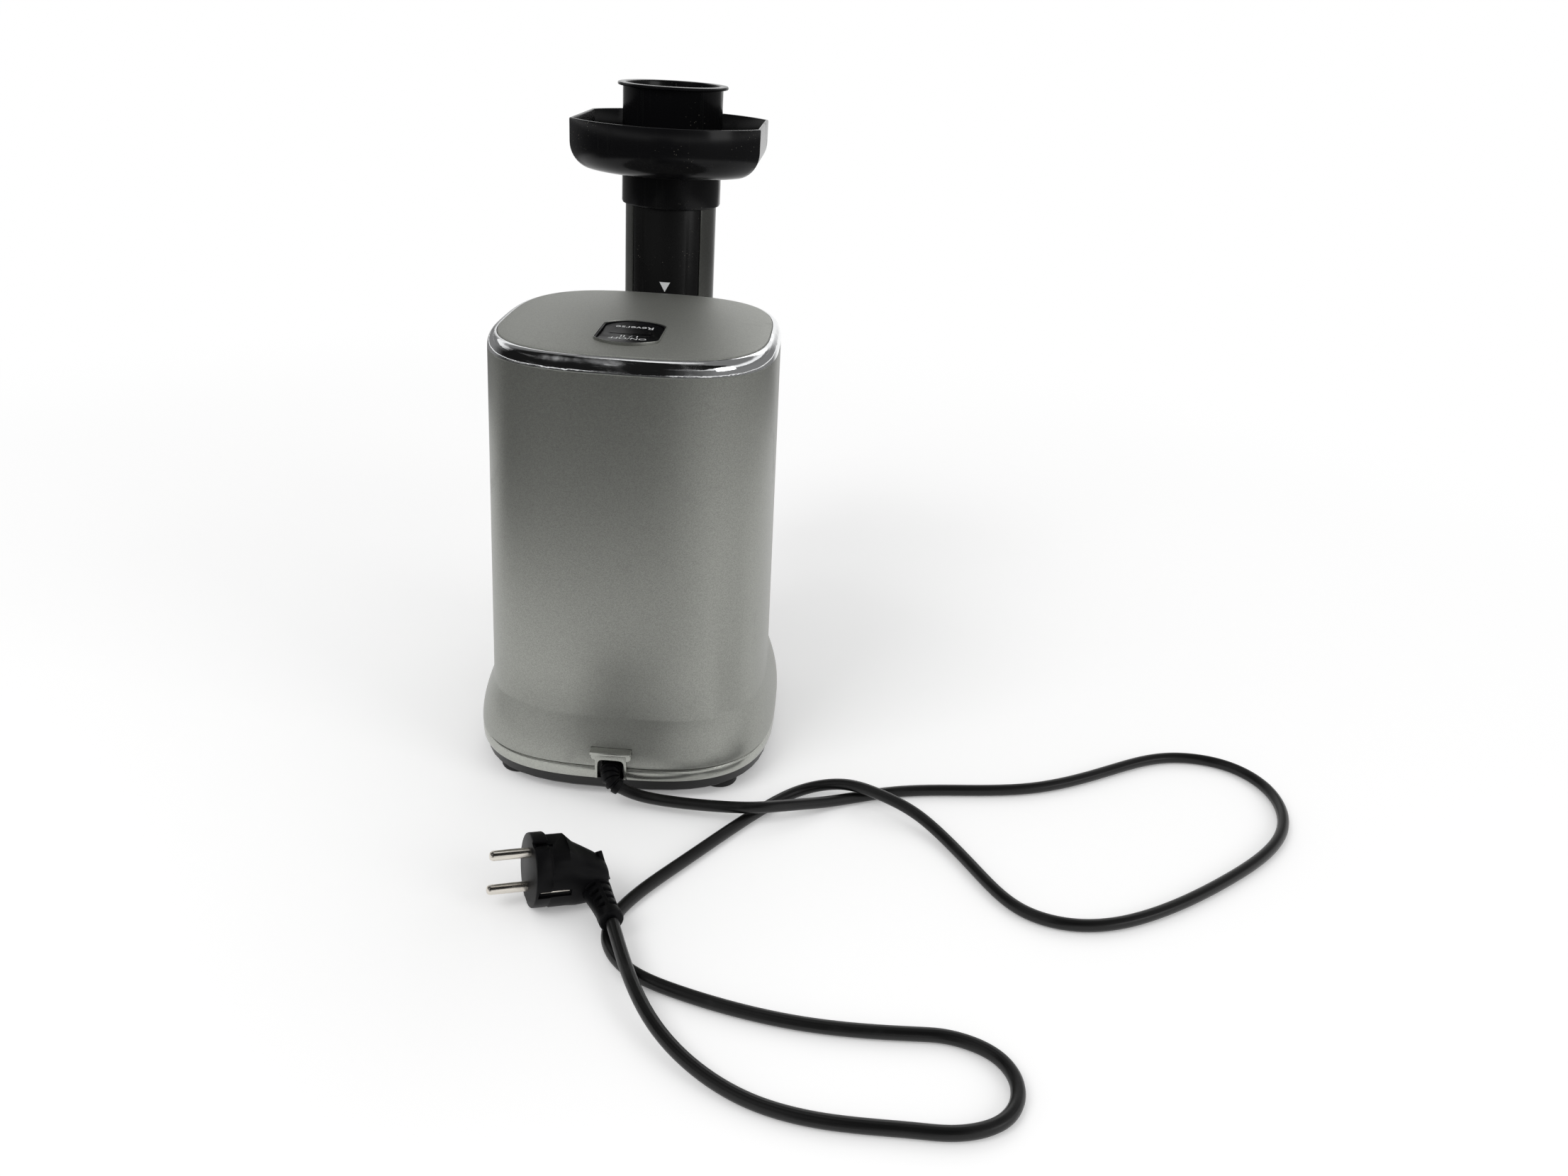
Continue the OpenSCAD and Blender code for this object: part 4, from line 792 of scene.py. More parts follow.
class JUICER_OT_top(bpy.types.Operator):
    """Chrome trim ring and the crowned top panel"""

    bl_idname = "juicer.top"
    bl_label = "Trim and panel"

    depth = 5  # how far the trim's rebate and the panel's rim reach down
    crown_steps = 15

    def execute(self, context):
        h = setting("housing")
        top = h.trim_z + h.trim_h
        self.trim(h, top)
        self.panel(h, top)
        return {"FINISHED"}

    def trim(self, h, top):
        rings = [(top_plan(0.5), h.trim_z), (top_plan(0.12), h.trim_z + 0.2)]
        for step in range(13):
            turn = math.pi / 2 * (0.02 + 0.9 * step / 12)
            inset = h.trim_in * (1 - math.cos(turn))
            rings.append((top_plan(inset), h.trim_z + h.trim_h * math.sin(turn)))
        rings += [
            (top_plan(h.trim_in + inset), z)
            for inset, z in (
                (0, top - 0.02), (0.35, top), (0.5, top - 0.15), (0.5, top - self.depth),
                (2.8, top - self.depth), (2.8, h.trim_z),
            )
        ]
        trim = stacked("chrome_trim_look", rings, HOUSE_SIDES, True, HOUSE)
        finish(trim, "chrome", "base", "chrome_trim", angle=30)

    def panel(self, h, top):
        rim, edge = top + 0.6, h.trim_in + 0.6
        rings = [
            (top_plan(edge + inset), z)
            for inset, z in (
                (0, top - self.depth), (0, rim - 0.9), (0.12, rim - 0.45), (0.4, rim - 0.12),
                (1.0, rim),
            )
        ]
        for step in range(1, self.crown_steps):
            done = step / self.crown_steps
            left = 1 - done
            reach = [(r - edge - 1) * left for r in reaches("top")]
            rings.append((squared(*reach, 3.0 - done), rim + h.crown * (1 - left * left)))
        panel = stacked("top_panel_look", rings, HOUSE_SIDES, at=HOUSE)
        outline = bezel_outline(1.0)
        hole = [(outline, top - 8), (outline, top + 8)]
        cut(panel, stacked("hole", hole, SWITCH_SIDES, at=(0, HOUSE[1] - h.bezel_back)))
        finish(panel, "panel", "base", "top_panel", angle=24)


class JUICER_OT_switch(bpy.types.Operator):
    """Bezel, rocker and the printed marks of the switch"""

    bl_idname = "juicer.switch"
    bl_label = "Rocker switch"

    # Each word with its place before the rocker's middle, its width and its height
    words = (
        ("ON/OFF", -10.6, 18.6, 4.2), ("I / II", -5.2, 8.6, 3.4), ("Reverse", 12.2, 19.2, 3.7),
    )

    def execute(self, context):
        low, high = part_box("switch_bezel")
        middle = (low.y + high.y) / 2 / MM
        top, bottom = high.z / MM, low.z / MM
        for name, look, node_name, section in (
            ("switch_bezel_look", "rocker", "switch_bezel", (
                (0, bottom), (0, top - 0.5), (-0.4, top - 0.35), (-1.3, top - 0.35),
                (-1.6, top - 0.6), (-1.6, bottom),
            )),
            ("bezel_rim", "lacquer", None, (
                (0.8, top - 1.5), (0.8, top - 0.25), (0.6, top), (0.2, top),
                (0.05, top - 0.2), (0.05, top - 1.5),
            )),
        ):
            rings = [(bezel_outline(grow), z) for grow, z in section]
            ring = stacked(name, rings, SWITCH_SIDES, True, (0, middle))
            finish(ring, look, "base", node_name, angle=30)
        self.marks(self.rocker(), middle)
        return {"FINISHED"}

    def rocker(self):
        """CAD rocker, cut to the outline with bulging ends."""
        rocker = dressed("rocker_switch", "rocker", "rocker")
        low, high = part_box("rocker_switch")
        outline = switch_outline((high.x - low.x) / MM, (high.y - low.y) / MM)
        rings = [(outline, low.z / MM - 1), (outline, high.z / MM + 1)]
        form = stacked("form", rings, SWITCH_SIDES, at=(0, (low.y + high.y) / 2 / MM))
        cut(rocker, form, "INTERSECT")
        soften(rocker, 0.3, 50)
        smooth(rocker, 30)
        return rocker

    def marks(self, rocker, middle):
        """Words and a line printed on the rocker, read from the juicer's front."""
        prints = []
        for word, back, wide, high in self.words:
            clear_selection()
            bpy.ops.object.text_add()
            text = bpy.context.object
            text.data.body = word
            text.data.resolution_u = 6
            bpy.ops.object.convert(target="MESH")
            text = bpy.context.object
            low = Vector(text.bound_box[0])
            size = Vector(text.bound_box[6]) - low
            place(
                text,
                Matrix.Translation((0, (middle + back) * MM, 0.25))
                @ Matrix.Rotation(math.pi, 4, "Z")
                @ Matrix.Diagonal((wide * MM / size.x, high * MM / size.y, 1, 1))
                @ Matrix.Translation(-low - size / 2),
            )
            prints.append(text)
        prints.append(block("line", (-10.6, middle - 0.4, 250), (10.6, middle + 0.4, 250.02)))
        marks = join("switch_marks", *prints)
        modify(marks, "TRIANGULATE")
        modify(
            marks,
            "SHRINKWRAP",
            target=rocker,
            wrap_method="PROJECT",
            use_project_z=True,
            use_negative_direction=True,
            use_positive_direction=False,
            offset=0.00006,
        )
        finish(marks, "mark", "rocker", angle=0)


class JUICER_OT_foot(bpy.types.Operator):
    """Silver band, black base plate, feet and screws"""

    bl_idname = "juicer.foot"
    bl_label = "Foot"

    # Inset from the foot's outline and rise over the band's lower edge
    band_section = (
        (0.9, 0), (0.45, 0.3), (0.16, 1.1), (0.04, 2.4), (0.0, 3.6), (0.06, 4.9),
        (0.24, 5.9), (0.55, 6.6), (1.0, 6.95), (1.6, 7.0), (4.2, 7.0), (4.2, 0),
    )
    foot_profile = (
        (2.2, 0.6), (2.6, 0.0), (5.0, 0.0), (5.3, 0.5), (6.2, 0.5), (6.5, 0.0),
        (8.8, 0.0), (9.5, 0.25), (9.9, 0.9), (10.0, 3.4), (9.7, 3.9), (3.9, 4.0), (3.9, 7.0),
    )

    def execute(self, context):
        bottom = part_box("base_band")[0].z / MM
        rings = [(plan_at(0, inset), bottom + rise) for inset, rise in self.band_section]
        band = stacked("base_band_look", rings, HOUSE_SIDES, True, HOUSE)
        # the band gets the lightened lacquer, a painted highlight
        finish(cut(band, entry_notch()), "band", "base", "base_band", angle=30)
        dressed("base_plate", "satin", "base", angle=30)
        for name in ("rear_left", "rear_right", "front_left", "front_right"):
            low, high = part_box("foot_" + name)
            middle = ((low.x + high.x) / 2 / MM, (low.y + high.y) / 2 / MM)
            foot = turned(f"foot_{name}_look", self.foot_profile, 48, at=middle)
            finish(foot, "rubber", "base", "foot_" + name, angle=30)
        dressed("base_screws", "steel", "base", 0.2)
        return {"FINISHED"}


class JUICER_OT_entry(bpy.types.Operator):
    """Frame round the cord's opening, with shoulders and an eave"""

    bl_idname = "juicer.entry"
    bl_label = "Cord entry"

    def execute(self, context):
        rear = rear_face()
        up = Matrix.Translation((0, rear * MM, 0)) @ Matrix.Rotation(math.pi / 2, 4, "X")
        opening = pad(-7.1, 7.1, 8, 25.2, 6.0)
        shoulders = pad(-10.8, 10.8, 24.2, 31.0, 5.0)
        rings = [(shoulders, -0.5), (shoulders, 0.8), (pad(-10.4, 10.4, 24.6, 30.8, 5.0), 1.25)]
        hole = place(stacked("hole", [(opening, -9), (opening, 9)]), up)
        collar = place(stacked("collar", rings), up)
        plate = block("plate", (-8.4, rear - 1.3, 13.6), (8.4, rear + 3.7, 29.4), 0.35)
        cut(plate, hole, keep=True)
        cut(collar, hole)
        eave = block("eave", (-10.8, rear - 4.2, 29.4), (10.8, rear + 2.4, 31.2), 0.6)
        entry = join("cord_entry_frame_look", plate, collar, eave)
        # the entry frame gets the same lightened band lacquer, a painted highlight
        finish(entry, "band", "base", "cord_entry_frame", angle=40)
        return {"FINISHED"}


class JUICER_OT_drum(bpy.types.Operator):
    """Drum with its feed tube, silver cover, socket ring, end cap and lock mark"""

    bl_idname = "juicer.drum"
    bl_label = "Drum and feed tube"

    mark_corners = ((-2.5, 241.4), (3.7, 241.4), (0.6, 235.8))
    mark_depth = 0.24  # how far the mark lies under the cover's surface

    def execute(self, context):
        dressed("drum", "strip", "drum", 0.2)
        # the cover gets the darkened lacquer, painted shade
        dressed("tube_cover", "cover", "drum", 0.35)
        dressed("socket_ring", "grey", "base")
        dressed("end_cap", "satin", "cap", 0.35)
        self.lock_mark()
        return {"FINISHED"}

    def lock_mark(self):
        """Printed triangle that follows the tube's curve."""
        feed = setting("feed")
        tube_y = HOUSE[1] + feed.tube_y
        clear_selection()
        bpy.ops.mesh.primitive_circle_add(vertices=3, radius=1.0, fill_type="NGON")
        mark = made("lock_mark")
        bpy.ops.object.mode_set(mode="EDIT")
        bm = bmesh.from_edit_mesh(mark.data)
        for vertex, (x, z) in zip(bm.verts, self.mark_corners):
            vertex.co = (x * MM, (tube_y - feed.tube_r) * MM, z * MM)
        bmesh.update_edit_mesh(mark.data)
        bpy.ops.mesh.select_all(action="SELECT")
        bpy.ops.mesh.quads_convert_to_tris()
        bpy.ops.mesh.subdivide(number_cuts=9)
        bpy.ops.mesh.normals_make_consistent(inside=False)
        bpy.ops.object.mode_set(mode="OBJECT")
        reach = (feed.tube_r - self.mark_depth) * MM
        for vertex in mark.data.vertices:
            vertex.co.y = tube_y * MM - math.sqrt(reach**2 - vertex.co.x**2)
        finish(mark, "mark", "drum", angle=0)


class JUICER_OT_tray(bpy.types.Operator):
    """Hopper tray with its collar"""

    bl_idname = "juicer.tray"
    bl_label = "Hopper tray"

    play = 0.4
    collar_wall = 1.8
    wall = 1.8

    def execute(self, context):
        f = setting("feed")
        base, rim, end = f.tube_top, f.tube_top + f.tray_h, f.tube_top - f.collar_l
        floor = base + f.tray_floor
        inner = f.tube_r + self.play
        outer = inner + self.collar_wall
        wide, narrow, low = f.tray_round, f.tray_round - self.wall, f.tray_round - f.tray_floor

        def edge(inset):
            return cut_round(f.tray_r - inset, f.tray_half - inset)

        rings = [
            (tray_circle(r), z)
            for r, z in (
                (f.bore_r, base), (inner, base), (inner, end + 0.6), (inner + 0.5, end),
                (outer - 1.1, end), (outer - 0.4, end + 0.35), (outer, end + 1.3),
                (outer, base - 0.5), (outer + 0.6, base),
            )
        ]
        rings += [(edge(wide * (1 - s)), base + wide * (1 - c)) for s, c in quarter(12)]
        rings += [
            (edge(inset), rim - drop)
            for inset, drop in ((0, 0.7), (0.2, 0.2), (0.6, 0), (1.2, 0), (1.6, 0.2), (1.8, 0.7))
        ]
        rings += [
            (edge(self.wall + narrow * (1 - s)), floor + low * (1 - c))
            for s, c in reversed(quarter(12))
        ]
        rings += [(tray_circle(f.bore_r + 0.8), floor), (tray_circle(f.bore_r), floor - 0.5)]
        tray = stacked("hopper_tray_look", rings, SIDES, True, (0, HOUSE[1] + f.tube_y))
        finish(tray, "gloss", "tray", "hopper_tray", angle=28)
        return {"FINISHED"}


class JUICER_OT_pusher(bpy.types.Operator):
    """Hollow pusher with its cup and flange"""

    bl_idname = "juicer.pusher"
    bl_label = "Pusher"

    def execute(self, context):
        f = setting("feed")
        low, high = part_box("pusher")
        bottom, top = low.z / MM, high.z / MM
        floor = f.tube_top + f.tray_floor
        profile = [
            (21.8, bottom), (22.5, bottom + 0.3), (22.8, bottom + 1.0), (22.8, floor),
            (28.0, floor), (28.5, floor + 0.5), (28.5, top - 2.5), (28.8, top - 1.9),
            (29.3, top - 1.7), (31.0, top - 1.7), (31.35, top - 1.4), (31.4, top - 0.7),
            (31.1, top - 0.15), (30.6, top), (27.4, top), (26.8, top - 0.3), (26.5, top - 0.9),
            (26.5, floor + 3.0), (26.0, floor + 2.2), (25.0, floor + 2.0), (21.0, floor + 2.0),
            (21.0, bottom + 2.8), (20.0, bottom + 1.8),
        ]
        pusher = turned("pusher_look", profile, 96, at=(0, HOUSE[1] + f.tube_y))
        finish(pusher, "gloss", "pusher", "pusher", angle=30)
        return {"FINISHED"}


# Mains cord: X, Y before the housing axis and lift above the table, as in the CAD
ROUTE = [
    (6, -90, 9.5), (20, -90.5, 5), (66, -95.5, 6.4), (84, -93.5, 6.8),
    (101, -85, 4.2), (120, -74, 0.8), (162, -57.5, 0), (230, -45.5, 0), (288, -14.5, 0),
    (320, -1, 0), (350, -6, 0), (367.3, -30, 0), (362, -70, 0), (322, -115, 0), (275, -149, 0),
    (240, -161, 0), (212, -153, 0), (192, -124, 0), (174, -95, 1.4), (160, -82, 4.4),
    (143, -73, 6.8), (125, -66, 6.4), (105, -66, 2), (85, -82, 0), (45, -137, 0),
    (18, -187, 0), (27, -212, 0), (54, -227, 0), (110, -240, 0), (157.5, -240.5, 0),
    (172, -241, 0), (189.5, -249, 0), (197, -265.5, 0), (190, -282.5, 0), (171.5, -290.8, 0),
    (153, -291.3, 0), (120, -290.5, 0), (84, -281, 0.3), (47.5, -251, 3.8), (20.6, -196, 8.5),
]


def even_line(points, steps):
    """Smooth line through the points: natural cubic pieces on rooted chord lengths."""
    p = np.array(points, float)
    count = len(p)
    knots = np.concatenate([[0], np.cumsum(np.linalg.norm(np.diff(p, axis=0), axis=1) ** 0.5)])
    h = np.diff(knots)
    a, b = np.eye(count), np.zeros((count, 3))
    for i in range(1, count - 1):
        a[i, i - 1 : i + 2] = h[i - 1], 2 * (h[i - 1] + h[i]), h[i]
        b[i] = 6 * ((p[i + 1] - p[i]) / h[i] - (p[i] - p[i - 1]) / h[i - 1])
    m = np.linalg.solve(a, b)
    line = []
    for i in range(count - 1):
        slope = (p[i + 1] - p[i]) / h[i] - h[i] * (2 * m[i] + m[i + 1]) / 6
        for k in range(steps):
            s = k / steps * h[i]
            line.append(p[i] + slope * s + m[i] / 2 * s**2 + (m[i + 1] - m[i]) / (6 * h[i]) * s**3)
    line.append(p[-1])
    return np.array(line)


def lengths(line):
    """Length of each step along a line."""
    return np.linalg.norm(np.diff(line, axis=0), axis=1)


def tube_curve(name, points, radii, resolution=5):
    """Curve of one open spline with a round section, in metres."""
    data = bpy.data.curves.new(name, "CURVE")
    data.dimensions = "3D"
    data.bevel_depth = 1.0
    data.bevel_resolution = resolution
    data.use_fill_caps = True
    spline = data.splines.new("POLY")
    spline.points.add(len(points) - 1)
    for point, spot, r in zip(spline.points, points, radii):
        point.co = (*spot, 1.0)
        point.radius = r
    spline.use_smooth = True
    return linked(name, data)


def facing(direction):
    """Turn that takes Z to a direction and keeps X level."""
    across = direction.cross(Vector((0, 0, 1))).normalized()
    return Matrix((across, across.cross(direction), direction)).transposed().to_4x4()


class JUICER_OT_plug(bpy.types.Operator):
    """Angled plug with two round pins and a ribbed sleeve"""

    bl_idname = "juicer.plug"
    bl_label = "Plug"

    pin_profile = (
        (2.4, -6), (2.4, 16.9), (2.28, 17.7), (1.95, 18.4), (1.4, 18.85), (0.7, 19.0),
    )
    half_pitch = 9.5
    # Reaches of the puck's rings and how square they are, each with its depth
    rim = (-18.0, 17.0, -17.5, 17.5, 2.0)
    body = (-16.6, 15.8, -13.2, 16.7, 2.5)
    puck_rings = (
        ((-17.2, 16.2, -16.7, 16.7, 2.0), 0), ((-17.8, 16.8, -17.3, 17.3, 2.0), 0.3),
        (rim, 0.9), (rim, 6.6), ((-17.6, 16.6, -17.0, 17.2, 2.0), 7.3),
        (body, 8.0), (body, 16.0), ((-16.2, 11.6, -11.0, 16.6, 2.6), 20.5),
        ((-15.0, 9.8, -8.0, 16.5, 2.7), 25), ((-12.5, 8.0, -4.0, 16.4, 2.8), 30),
        ((-10.0, 6.6, -1.0, 15.8, 2.8), 32.8), ((-8.0, 5.0, 1.5, 14.8, 2.8), 34.7),
        ((-6.0, 3.2, 3.5, 13.2, 2.8), 35.4),
    )
    puck_cuts = (
        ((14.5, -20, 7.2), (20, 20, 16.4)), ((15.4, 1.8, -1), (20, 20, 8)),
        ((13.6, 1.8, 1.2), (15.6, 3.8, 9.6)), ((-4.7, 15.2, 1.2), (-1.1, 22, 17)),
        ((-20, -2.6, -1), (-16.6, 2.6, 12)),
    )
    slots = 4
    slot_pitch = 4.9
    slot_w = 2.4

    def execute(self, context):
        self.face = (
            Matrix.Translation((-23.2 * MM, -171.6 * MM + AXIS_Y, 18.6 * MM))
            @ Matrix.Rotation(math.radians(205.1), 4, "Z")
            @ Matrix.Rotation(math.radians(-6.5), 4, "Y")
        )
        self.back = self.face @ Matrix.Rotation(-math.pi / 2, 4, "Y")
        body = join("plug_body_look", self.puck(), self.ledge(), self.sleeve())
        finish(body, "plug", "base", "plug_body", angle=32)
        pins = [place(block("clip", (-1.9, 15.3, 2.2), (-1.2, 16.7, 15.8), 0.15), self.back)]
        out = Matrix.Rotation(math.pi / 2, 4, "Y")
        for side in (-self.half_pitch, self.half_pitch):
            pin = turned("pin", self.pin_profile, 40)
            pins.append(place(pin, self.face @ Matrix.Translation((0, 0, side * MM)) @ out))
        finish(join("plug_pins_look", *pins), "nickel", "base", "plug_pins", angle=40)
        return {"FINISHED"}

    def puck(self):
        """Round rim and the body behind it; X runs along the pins' line, Y to the viewer."""
        puck = stacked("puck", [(pad(*reach), z) for reach, z in self.puck_rings])
        for low, high in self.puck_cuts:
            cut(puck, block("cutter", low, high))
        soften(puck, 0.3, 28)
        return place(puck, self.back)

    def ledge(self):
        """Thin ledge on the back of the body, where the grip ends."""
        top, foot = Vector((8.4, 2.4, 32.4)), Vector((-2.4, 11.0, 35.6))
        turn = facing((foot - top).normalized())
        ledge = block("ledge", (-4.6, -1.1, 0), (1.3, 1.1, (foot - top).length), 0.35)
        return place(ledge, self.back @ Matrix.Translation(top * MM) @ turn)

    def sleeve(self):
        """Ribbed sleeve from the body to the cord."""
        start = self.back @ Vector((-4.6 * MM, 14.0 * MM, 29.2 * MM))
        stop = Vector((20.2 * MM, -195.0 * MM + AXIS_Y, 11.6 * MM))
        end = (stop - start).length / MM
        profile = [
            (7.2, -3), (6.9, 3), (6.3, 8), (5.8, 14), (5.5, end - 4.9), (5.8, end - 4.5),
            (5.8, end - 0.7), (5.3, end), (3.4, end + 0.2),
        ]
        sleeve = turned("sleeve", profile, 48)
        for step in range(self.slots):
            z = end - 8.2 - self.slot_pitch * step
            for side, up in ((1, 1), (-1, 1), (1, -1), (-1, -1)):
                x, y = sorted((side * 1.0, side * 8)), sorted((up * 3.4, up * 9))
                low, high = zip(x, y, (z, z + self.slot_w))
                cut(sleeve, block("cutter", low, high))
        soften(sleeve, 0.25)
        turn = facing((stop - start).normalized())
        return place(sleeve, Matrix.Translation(start) @ turn)


class JUICER_OT_cord(bpy.types.Operator):
    """Mains cord with its ribbed strain relief"""

    bl_idname = "juicer.cord"
    bl_label = "Mains cord"

    relief_way = (
        (0, -57, 18.6), (0, -66, 18.6), (0, -76, 18.6), (0, -83, 18.3), (0.2, -86.2, 17.3),
        (1.6, -88.8, 15.6), (4.2, -90.0, 13.7), (6, -90.1, 12.6),
    )
    relief_step = 0.2
    relief_r = 5.2
    rib_pitch = 2.7
    groove = 1.0  # depth of the grooves between the ribs
    groove_w = 1.1

    def execute(self, context):
        c = setting("cord")
        r = c.diameter / 2
        route = [(x * MM, y * MM + AXIS_Y, z * MM + r) for x, y, z in ROUTE]
        line = even_line(route, 12)
        line[:, 2] = np.maximum(line[:, 2], r)
        cord = tube_curve("mains_cord", line, [r] * len(line))
        cord.data.materials.append(MATERIALS["cord"])
        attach(cord, "base")
        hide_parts("power_cord")

        relief = self.relief()
        return {"FINISHED"}

    def relief(self):
        """Rubber sleeve with ribs where it leaves the housing."""
        way = [(x * MM, y * MM + AXIS_Y, z * MM) for x, y, z in self.relief_way]
        line = even_line(way, 40)
        done = np.concatenate([[0], np.cumsum(lengths(line))]) / MM
        points, radii = [], []
        for spot in np.arange(0, done[-1], self.relief_step):
            points.append([np.interp(spot, done, line[:, i]) for i in range(3)])
            left = done[-1] - spot
            size = self.relief_r - 1.0 * max(0.0, 1 - left / 11)
            if 1.4 < left < 16.5 and left % self.rib_pitch < self.groove_w:
                size -= self.groove
            radii.append(size * MM)
        radii[-2:] = [radii[-3] * 0.97, radii[-3] * 0.86]
        relief = tube_curve("strain_relief_look", points, radii, 8)
        pick(relief)
        bpy.ops.object.convert(target="MESH")
        return finish(bpy.context.object, "plug", "base", "strain_relief", angle=50)


class JUICER_OT_inside(bpy.types.Operator):
    """Finishes of the pieces inside the housing and the drum"""

    bl_idname = "juicer.inside"
    bl_label = "Inner pieces"

    looks = {
        "grey": ["switch_block", "cord_clamp", "motor_cradle", "cooling_fan", "drive_coupling"],
        "steel": [
            "stator_core", "bearing_front", "bearing_rear", "rotor", "gear_case_screws",
            "idler_pin", "output_gear", "output_bearing", "strainer", "auger_shaft",
        ],
        "copper": ["stator_windings"],
        "zinc": ["motor_bracket_front", "motor_bracket_rear", "gear_case", "gear_cover"],
        "brass": ["motor_pinion"],
        "natural": ["idler_gear", "nose_bush"],
        "board": ["control_board"],
        "rubber": ["drum_seal", "end_cap_seal"],
        "satin": ["auger_screw"],
    }

    def execute(self, context):
        for look, names in self.looks.items():
            for name in names:
                materials = frame["nodes"][name].data.materials
                materials.clear()
                materials.append(MATERIALS[look])
        return {"FINISHED"}


# Stage


class JUICER_OT_stage(bpy.types.Operator):
    """Floor, soft lamps and the camera at the photograph's viewing angle"""

    bl_idname = "juicer.stage"
    bl_label = "Stage"

    # Each card: radius, lower and upper height, arc, nearest distances, and for its sides
    # the grey and the distances between which they lie. A flat card has one height.
    core = (-2.1, -1.5, 0.95, 0.05)
    tall_side = (0.4, 0.5, 4.0, 3.0)
    card_rows = {
        "floor_card": (
            1.9, 0.0006, 0.0006, (-2.1, -1.5, 0.85, -0.15), (0.31, 0.5), 0.22, (0.6, 0.75, 4.0, 3.0)
        ),
        "upper_card": (1.9, 0.95, 0.95, core, (0.1, 0.2), 0.2, (0.12, 0.24, 1.3, 0.9)),
        "far_card": (1.85, 0.65, 0.98, core, (0.24, 0.4), 0.2, tall_side),
        "low_card": (1.85, 0.01, 0.55, (-0.35, -0.12, 0.25, 0.05), (0.24, 0.4), None, None),
        "near_card": (0.62, 0.18, 0.37, core, (0.24, 0.4), 0.22, tall_side),
    }
    behind = (-2.9, -2.6, 2.9, 2.6)  # the sides end at these angles
    dark = 0.01
    floor_dark = 0.05
    yaw, down, roll = 1.37, 24.8, 3.67  # the camera's turns, in degrees

    def execute(self, context):
        self.camera(context)
        self.floor()
        self.cards()
        self.world(context)
        self.lamps()
        return {"FINISHED"}

    def camera(self, context):
        data = bpy.data.cameras.new("camera")
        data.sensor_fit = "HORIZONTAL"
        data.sensor_width = 36.0
        data.lens = 29.10
        data.clip_start, data.clip_end = 0.02, 30.0
        camera = linked("camera", data)
        matrix = Matrix.Translation((0.0993, -0.6497 + AXIS_Y, 0.3942))
        for axis, angle in (("Z", self.yaw), ("X", 90 - self.down), ("Z", self.roll)):
            matrix = matrix @ Matrix.Rotation(math.radians(angle), 4, axis)
        camera.matrix_world = matrix
        context.scene.camera = camera

    def floor(self):
        """Pale floor that turns into the plain backdrop away from the juicer."""
        clear_selection()
        bpy.ops.mesh.primitive_plane_add(size=16.0, location=(0, 0, -0.0004))
        floor = made("floor")
        white = (0.92, 0.92, 0.92)
        material, tree, shader, coords = surface("Pale floor", white, 0.9)
        seen = self.seen(tree)
        inputs = {
            "Specular IOR Level": 0.1,
            "Emission Color": (1, 1, 1, 1),
            "Emission Strength": between(tree, seen, 0.0, 0.2),
        }
        wire(tree, shader, inputs)
        away = node(tree, "VectorMath", {0: coords}, operation="LENGTH")["Value"]
        share = maths(tree, "MULTIPLY", fade(tree, away, 0.3, 0.95), seen)
        plain = node(tree, "Emission", {"Strength": 1.0})["Emission"]
        mix = {0: share, 1: shader.outputs["BSDF"], 2: plain}
        show(tree, node(tree, "MixShader", mix)["Shader"])
        floor.data.materials.append(material)

    def seen(self, tree):
        """1 for the rays that show the backdrop, 0 for those that light the juicer."""
        rays = node(tree, "LightPath")
        some = maths(tree, "MAXIMUM", rays["Is Camera Ray"], rays["Is Glossy Ray"])
        return maths(tree, "MAXIMUM", some, rays["Is Transmission Ray"])

    def cards(self):
        """Cards that only reflections see: round the camera's side, and one for the trim."""
        for name, (radius, low, high, *look) in self.card_rows.items():
            clear_selection()
            if high > low:
                bpy.ops.mesh.primitive_cylinder_add(
                    vertices=96, radius=radius, depth=high - low, end_fill_type="NOTHING",
                    location=(0, AXIS_Y, (low + high) / 2),
                )
            else:
                bpy.ops.mesh.primitive_circle_add(
                    vertices=64, radius=radius, fill_type="NGON", location=(0, AXIS_Y, low)
                )
            self.only_reflected(name, self.card_material(name, *look))
        clear_selection()
        bpy.ops.mesh.primitive_plane_add(
            size=1.0, location=(0.36, AXIS_Y - 0.8, 0.945), scale=(0.12, 0.36, 1.0)
        )
        material, tree = self.bare_material("Trim card")
        show(tree, node(tree, "Emission", {"Strength": self.dark})["Emission"])
        self.only_reflected("trim_card", material)

    def only_reflected(self, name, material):
        card = made(name)
        card.data.materials.append(material)
        card.visible_camera = card.visible_diffuse = card.visible_shadow = False
        card.visible_transmission = False

    def bare_material(self, name):
        material = bpy.data.materials.new(name)
        material.use_nodes = True
        tree = material.node_tree
        tree.nodes.remove(tree.nodes["Principled BSDF"])
        return material, tree

    def card_material(self, name, arc, near, grey, side):
        """Dark over an arc, grey to both sides of it, and clear elsewhere."""
        material, tree = self.bare_material(name)
        coords = node(tree, "TexCoord")["Object"]
        parts = node(tree, "SeparateXYZ", {0: coords})
        back = maths(tree, "MULTIPLY", parts["Y"], -1.0)
        azimuth = maths(tree, "ARCTAN2", parts["X"], back)
        away = node(tree, "VectorMath", {0: coords}, operation="LENGTH")["Value"]

        def within(value, ends):
            """1 between the two inner ends, 0 past the outer ones."""
            rise, fall = fade(tree, value, *ends[:2]), fade(tree, value, *ends[2:])
            return maths(tree, "MULTIPLY", rise, fall)

        dark = self.floor_dark if name == "floor_card" else self.dark
        core = within(azimuth, arc)
        cover = maths(tree, "MULTIPLY", core, fade(tree, away, *near))
        if side:
            band = within(away, side)
            if name != "upper_card":
                band = maths(tree, "MULTIPLY", band, within(azimuth, self.behind))
            cover = maths(tree, "MAXIMUM", cover, band)
        strength = between(tree, core, grey if side else dark, dark)
        light = node(tree, "Emission", {"Strength": strength})["Emission"]
        clear = node(tree, "BsdfTransparent")["BSDF"]
        show(tree, node(tree, "MixShader", {0: cover, 1: clear, 2: light})["Shader"])
        return material

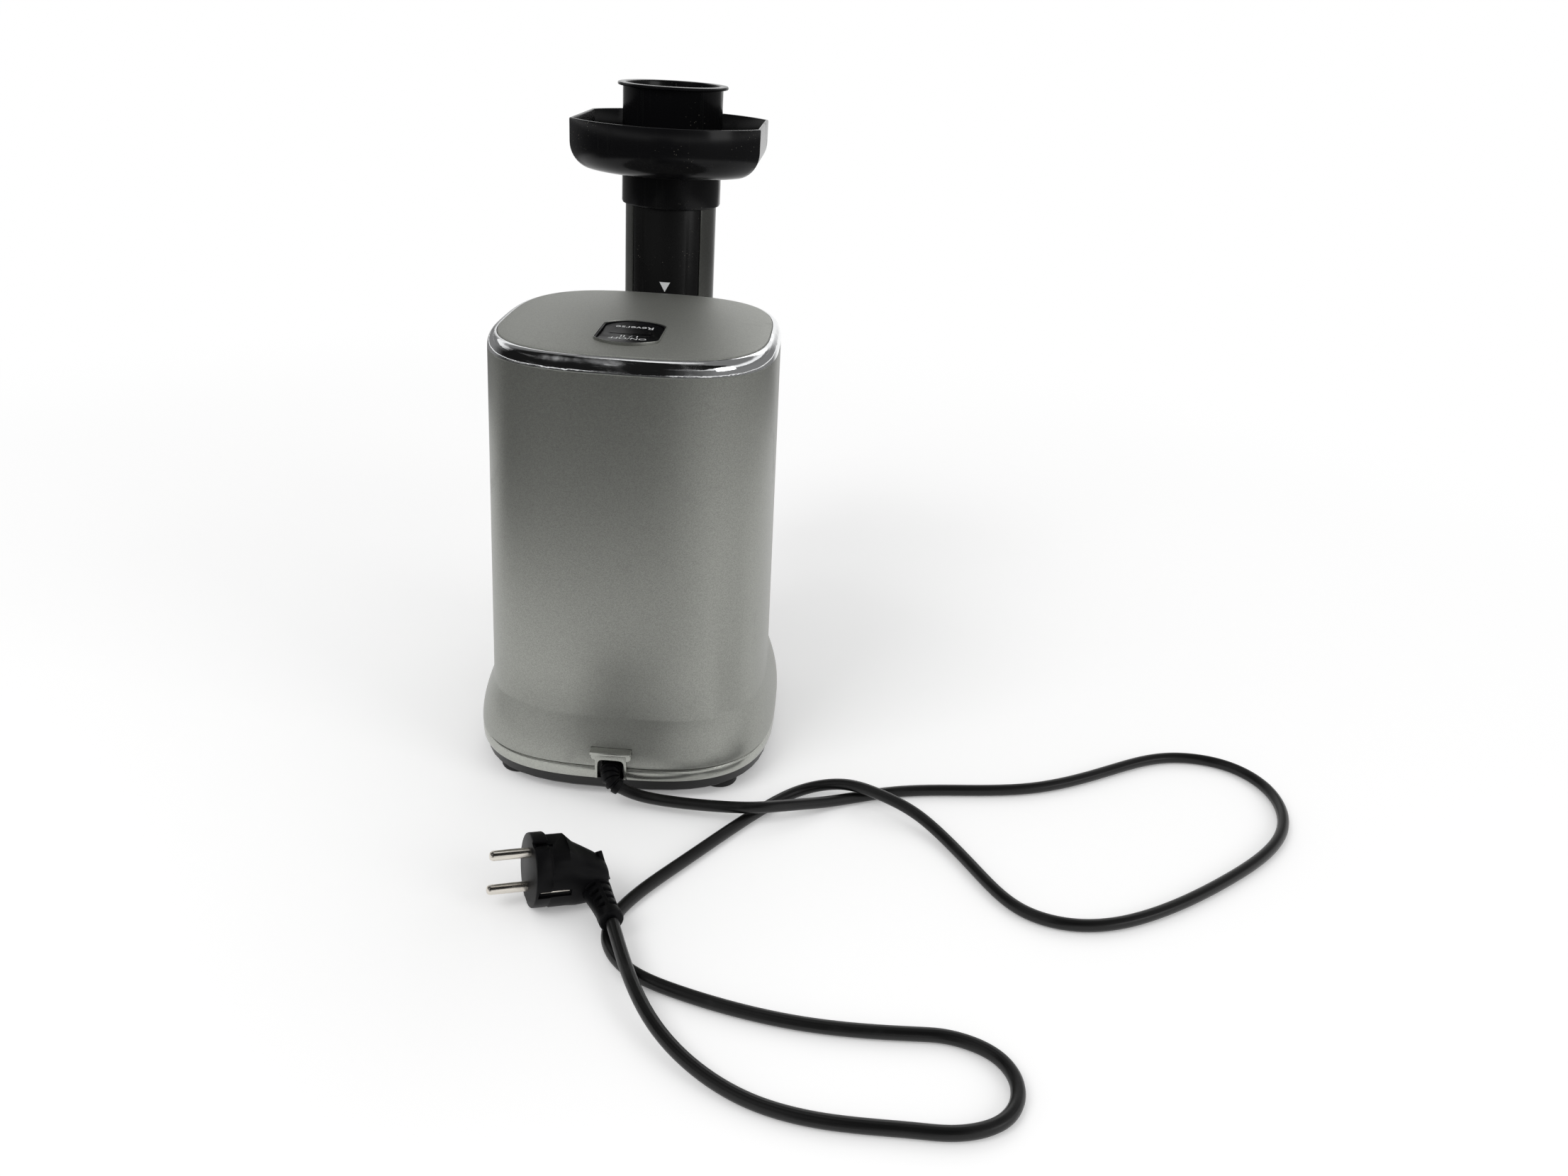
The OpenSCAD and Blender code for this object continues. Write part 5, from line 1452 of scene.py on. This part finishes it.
    def world(self, context):
        world = bpy.data.worlds.new("studio")
        context.scene.world = world
        world.use_nodes = True
        tree = world.node_tree
        strength = between(tree, self.seen(tree), 0.58, 1.0)
        wire(tree, tree.nodes["Background"], {"Color": (1, 1, 1, 1), "Strength": strength})

    def lamps(self):
        for name, where, size, power in (
            ("key", (-0.9, -1.2, 1.6), 1.0, 12.0),
            ("fill", (1.5, -0.9, 0.9), 0.8, 5.0),
            ("back", (0.3, 1.5, 1.4), 1.2, 5.0),
        ):
            data = bpy.data.lights.new(name, "AREA")
            data.shape = "SQUARE"
            data.size = size
            data.energy = power
            aim = Vector((0, 0, 0.12)) - Vector(where)
            turn = aim.to_track_quat("-Z", "Y").to_matrix().to_4x4()
            linked(name, data).matrix_world = Matrix.Translation(where) @ turn


class JUICER_PT_panel(bpy.types.Panel):
    """Lists the juicer's pieces and settings"""

    bl_label = "Slow juicer"
    bl_idname = "JUICER_PT_panel"
    bl_space_type = "VIEW_3D"
    bl_region_type = "UI"
    bl_category = "Juicer"

    def draw(self, context):
        layout = self.layout
        for name, group in SETTINGS.items():
            box = layout.box()
            for size in group.__annotations__:
                box.prop(getattr(context.scene, name), size)
        for operator in STEPS:
            layout.operator(operator.bl_idname)


STEPS = (
    JUICER_OT_stage,
    JUICER_OT_plug,
    JUICER_OT_cord,
    JUICER_OT_housing,
    JUICER_OT_top,
    JUICER_OT_switch,
    JUICER_OT_foot,
    JUICER_OT_entry,
    JUICER_OT_drum,
    JUICER_OT_tray,
    JUICER_OT_pusher,
    JUICER_OT_inside,
)
CLASSES = (*SETTINGS.values(), *STEPS, JUICER_PT_panel)


def register():
    for cls in CLASSES:
        bpy.utils.register_class(cls)
    for name, group in SETTINGS.items():
        setattr(bpy.types.Scene, name, bpy.props.PointerProperty(type=group))


def unregister():
    for name in SETTINGS:
        delattr(bpy.types.Scene, name)
    for cls in reversed(CLASSES):
        bpy.utils.unregister_class(cls)


def main():
    register()
    bpy.context.scene.view_settings.view_transform = "Standard"
    make_materials()
    for step in STEPS:
        group, name = step.bl_idname.split(".")
        getattr(getattr(bpy.ops, group), name)()
    clear_selection()


if __name__ == "__main__":
    main()
